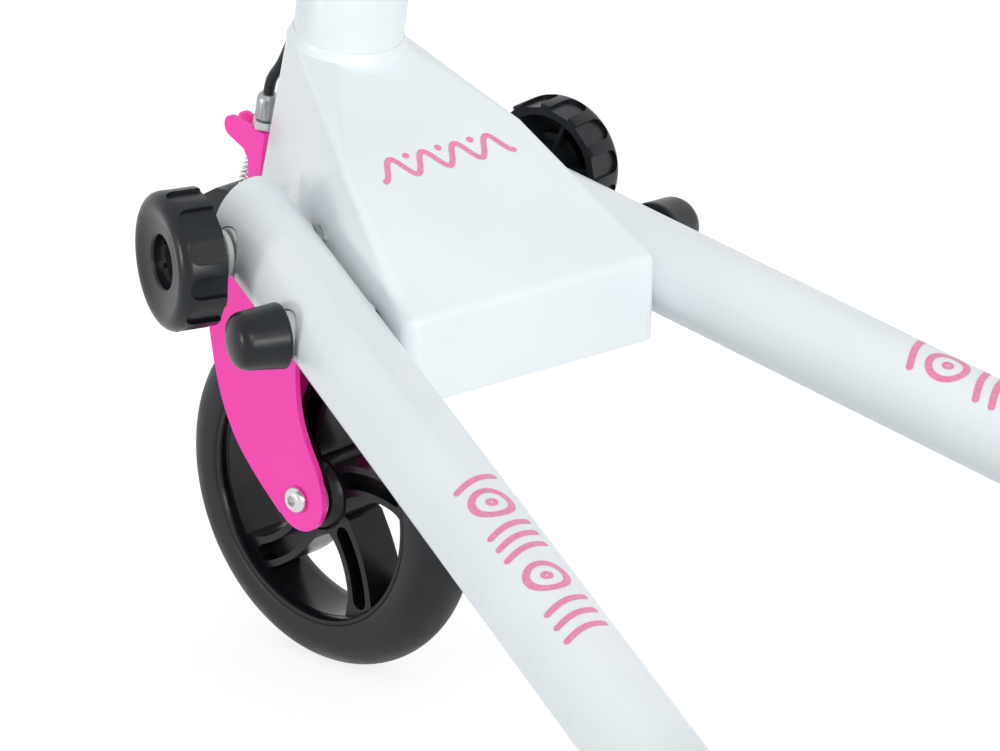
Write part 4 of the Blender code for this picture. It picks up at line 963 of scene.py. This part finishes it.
# %% Pull pins
for name in SIDES:
    out = outward(name, PIN_AT)
    collar_line = [(4.3, 18.4), (7.6, 18.4)] + arc(7.7, 17.4, 1.0, 80, 0, 5)
    collar_line += [(8.7, 14.6), (8.3, 13.9), (4.3, 13.9)]
    dressed(body_of(spun(collar_line, 64, closed=True), out), f"pin_collar_turned_{name}", f"leg_{name}",
            PALE_NYLON, [f"pin_collar_{name}"])
    cap_line = [(0, 39.4), (3.5, 39.2), (6.5, 38.6), (8.6, 37.7), (9.9, 36.6), (10.7, 35.0), (11.0, 33.2),
                (11.3, 30.0), (12.3, 20.8), (12.4, 19.9), (12.1, 19.2), (11.6, 19.0), (9.9, 19.0),
                (9.6, 19.3), (9.6, 21.6), (4.3, 21.6), (4.3, 31.5), (0, 31.5)]
    dressed(body_of(spun(cap_line, 96), out), f"pull_cap_{name}", f"pin_{name}", BLACK_NYLON,
            [f"pin_cap_{name}"])
    rod_line = [(0, 31.2), (3.4, 31.2), (PIN_R, 30.6), (PIN_R, -17.4), (2.8, -18.6), (0, -18.6)]
    dressed(body_of(spun(rod_line, 48), out), f"locking_pin_{name}", f"pin_{name}", TURNED_STEEL,
            [f"pin_plunger_{name}"])

# %% [markdown]
# ## Print
# Film less than a tenth of a millimetre thick. Each stroke is a strip with round ends that a small
# function lays on the flat top of the box or round a leg.

# %% Strokes
def stroke(bm, path, width, lay, closed=False):
    """Adds a printed stroke to a bmesh; lay turns a place in the print into one on the scooter."""
    middle = [Vector(p) for p in curve_through(path, 1.0, closed)]
    count, half, rows = len(middle), width / 2, []
    for i, point in enumerate(middle):
        ahead = middle[(i + 1) % count if closed else min(i + 1, count - 1)]
        behind = middle[i - 1 if closed else max(i - 1, 0)]
        rows.append((point, (ahead - behind).normalized(), half))
    if not closed:
        (first, first_way, _), (last, last_way, _) = rows[0], rows[-1]
        for i in range(1, 7):
            a = math.radians(14.5 * i)
            rows.insert(0, (first - first_way * half * math.sin(a), first_way, half * math.cos(a)))
            rows.append((last + last_way * half * math.sin(a), last_way, half * math.cos(a)))
    strips = []
    for point, way, wide in rows:
        side = Vector((-way.y, way.x)) * wide
        strips.append([bm.verts.new(lay(*(point + side * k / 2))) for k in range(-2, 3)])
    for here, there in zip(strips, strips[1:] + (strips[:1] if closed else [])):
        for i in range(4):
            bm.faces.new((here[i], here[i + 1], there[i + 1], there[i]))


def printed(bm, name, body, place):
    bmesh.ops.solidify(bm, geom=bm.faces[:], thickness=FILM_THICK)
    film = body_of(tidy(bm), place)
    return dressed(film, name, body, PRINT_INK, crisp=60)


# %% The wave on the box
FILM_GAP, FILM_THICK = 0.12, 0.07


def on_top(u, v):
    return u, v, FILM_GAP


up_slope = Vector((0, -1, TOP_SLOPE)).normalized()
BOX_TOP = ROOT @ Matrix(((-1, 0, 0), up_slope, Vector((-1, 0, 0)).cross(up_slope))).transposed().to_4x4()
BOX_TOP.translation = ROOT @ (Vector((0, REAR_Y, REAR_HIGH)) * MM)
bm = bmesh.new()
WAVE = 15.5
stroke(bm, [(-31 + i, 66 - 4.6 * math.cos(2 * math.pi * i / WAVE)) for i in range(63)], 2.4, on_top)
for i in (1, 2, 3):
    stroke(bm, [(-31.1 + WAVE * i, 70.5), (-30.9 + WAVE * i, 70.5)], 2.8, on_top)
printed(bm, "print_wave", "body", BOX_TOP)

# %% Rings and bars on the legs
PRINT_R = LEG_R + FILM_GAP


def on_leg(along, across):
    return PRINT_R * math.sin(across / PRINT_R), along, PRINT_R * math.cos(across / PRINT_R)


for name, lean in (("left", 0.8), ("right", 3.6)):
    bm = bmesh.new()
    for middle in (204, 250):
        stroke(bm, arc(middle, lean, 7.2, 0, 340, 18), 2.8, on_leg, closed=True)
        stroke(bm, arc(middle, lean, 1.5, 0, 300, 6), 1.8, on_leg, closed=True)
    for at in (190, 219, 226, 233, 266, 274, 282):
        stroke(bm, [(at - 2.6, lean - 8.4), (at - 0.6, lean), (at + 2.6, lean + 8.4)], 2.8, on_leg)
    printed(bm, f"print_rings_{name}", f"leg_{name}", LEG[name])

# %% [markdown]
# ## What the photograph leaves out
# The column, bar, grips, footplates and casters follow common scooters of this kind. They keep
# the CAD model's shapes.

# %% Finishes of the CAD nodes that stay
FINISH = {"white_powder_coat": WHITE_COAT, "pink_powder_coat": PINK_COAT, "black_moulding": BLACK_NYLON,
          "black_rubber": GRIP_RUBBER, "grey_black_tyre": TYRE_PU, "bright_plating": NICKEL,
          "plain_steel": TURNED_STEEL}
slots = {row["node"]: row["material_slot"] for row in frame["record"]["subparts"]}
for node, obj in frame["nodes"].items():
    if not obj.hide_render:
        obj.data.materials.clear()
        obj.data.materials.append(FINISH[slots[node]])
print("kept CAD nodes:", sorted(n for n, o in frame["nodes"].items() if not o.hide_render))

# %% [markdown]
# ## Floor and light
# A studio with a white sweep: to the camera the floor and the world are plain white, and the
# floor still darkens a little where the scooter keeps the light off it. The lamps are three large
# soft boxes at a level at which a colour shows about as it is written.

# %% Floor
def seen_rays(tree):
    """1 for a ray that shows its end to the camera, straight or mirrored or through glass."""
    rays = add_node(tree, "LightPath")
    seen = add_node(tree, "Math", {0: rays.outputs["Is Camera Ray"], 1: rays.outputs["Is Glossy Ray"]},
                    operation="MAXIMUM")
    return add_node(tree, "Math", {0: seen.outputs[0], 1: rays.outputs["Is Transmission Ray"]},
                    operation="MAXIMUM")


def stage_white(name):
    material = bpy.data.materials.new(name)
    material.use_nodes = True
    tree = material.node_tree
    out = tree.nodes["Material Output"]
    tree.nodes.remove(tree.nodes["Principled BSDF"])
    seen = seen_rays(tree)
    shade = add_node(tree, "BsdfDiffuse", {"Color": linear("#C9CDD0")})
    faint = add_node(tree, "BsdfDiffuse", {"Color": linear("#9A9DA0")})
    glow = add_node(tree, "Emission", {"Color": (1, 1, 1, 1), "Strength": 0.80})
    both = add_node(tree, "AddShader", {0: faint.outputs[0], 1: glow.outputs[0]})
    mixed = add_node(tree, "MixShader", {0: seen.outputs[0], 1: shade.outputs[0], 2: both.outputs[0]})
    tree.links.new(mixed.outputs[0], out.inputs["Surface"])
    return material


bm = bmesh.new()
bmesh.ops.create_grid(bm, x_segments=1, y_segments=1, size=8.0)
mesh = bpy.data.meshes.new("studio_floor")
bm.to_mesh(mesh)
bm.free()
floor = bpy.data.objects.new("studio_floor", mesh)
bpy.context.scene.collection.objects.link(floor)
floor.data.materials.append(stage_white("studio_sweep"))

# %% World
world = bpy.data.worlds.new("studio")
bpy.context.scene.world = world
world.use_nodes = True
tree = world.node_tree
background = tree.nodes["Background"]
strength = add_node(tree, "MapRange", {"Value": seen_rays(tree).outputs[0], "To Min": 0.66, "To Max": 1.0})
background.inputs["Color"].default_value = linear("#FAFCFF")
tree.links.new(strength.outputs["Result"], background.inputs["Strength"])
print("world and floor made")


# %% Lamps
def soft_box(name, at, aim, size, power):
    lamp = bpy.data.lights.new(name, "AREA")
    lamp.shape = "RECTANGLE"
    lamp.size, lamp.size_y = size
    lamp.energy = power
    obj = bpy.data.objects.new(name, lamp)
    bpy.context.scene.collection.objects.link(obj)
    obj.location = at
    obj.rotation_euler = (Vector(aim) - Vector(at)).to_track_quat("-Z", "Y").to_euler()
    return obj


AIM = (0.0, -0.2, 0.2)
soft_box("left_softbox", (2.3, -0.9, 0.35), AIM, (0.5, 0.5), 12)
soft_box("rear_high_softbox", (1.2, 2.2, 1.6), AIM, (1.2, 1.0), 14)
soft_box("rear_low_softbox", (0.2, 2.4, 0.5), AIM, (1.4, 0.6), 23)
print("three soft boxes")
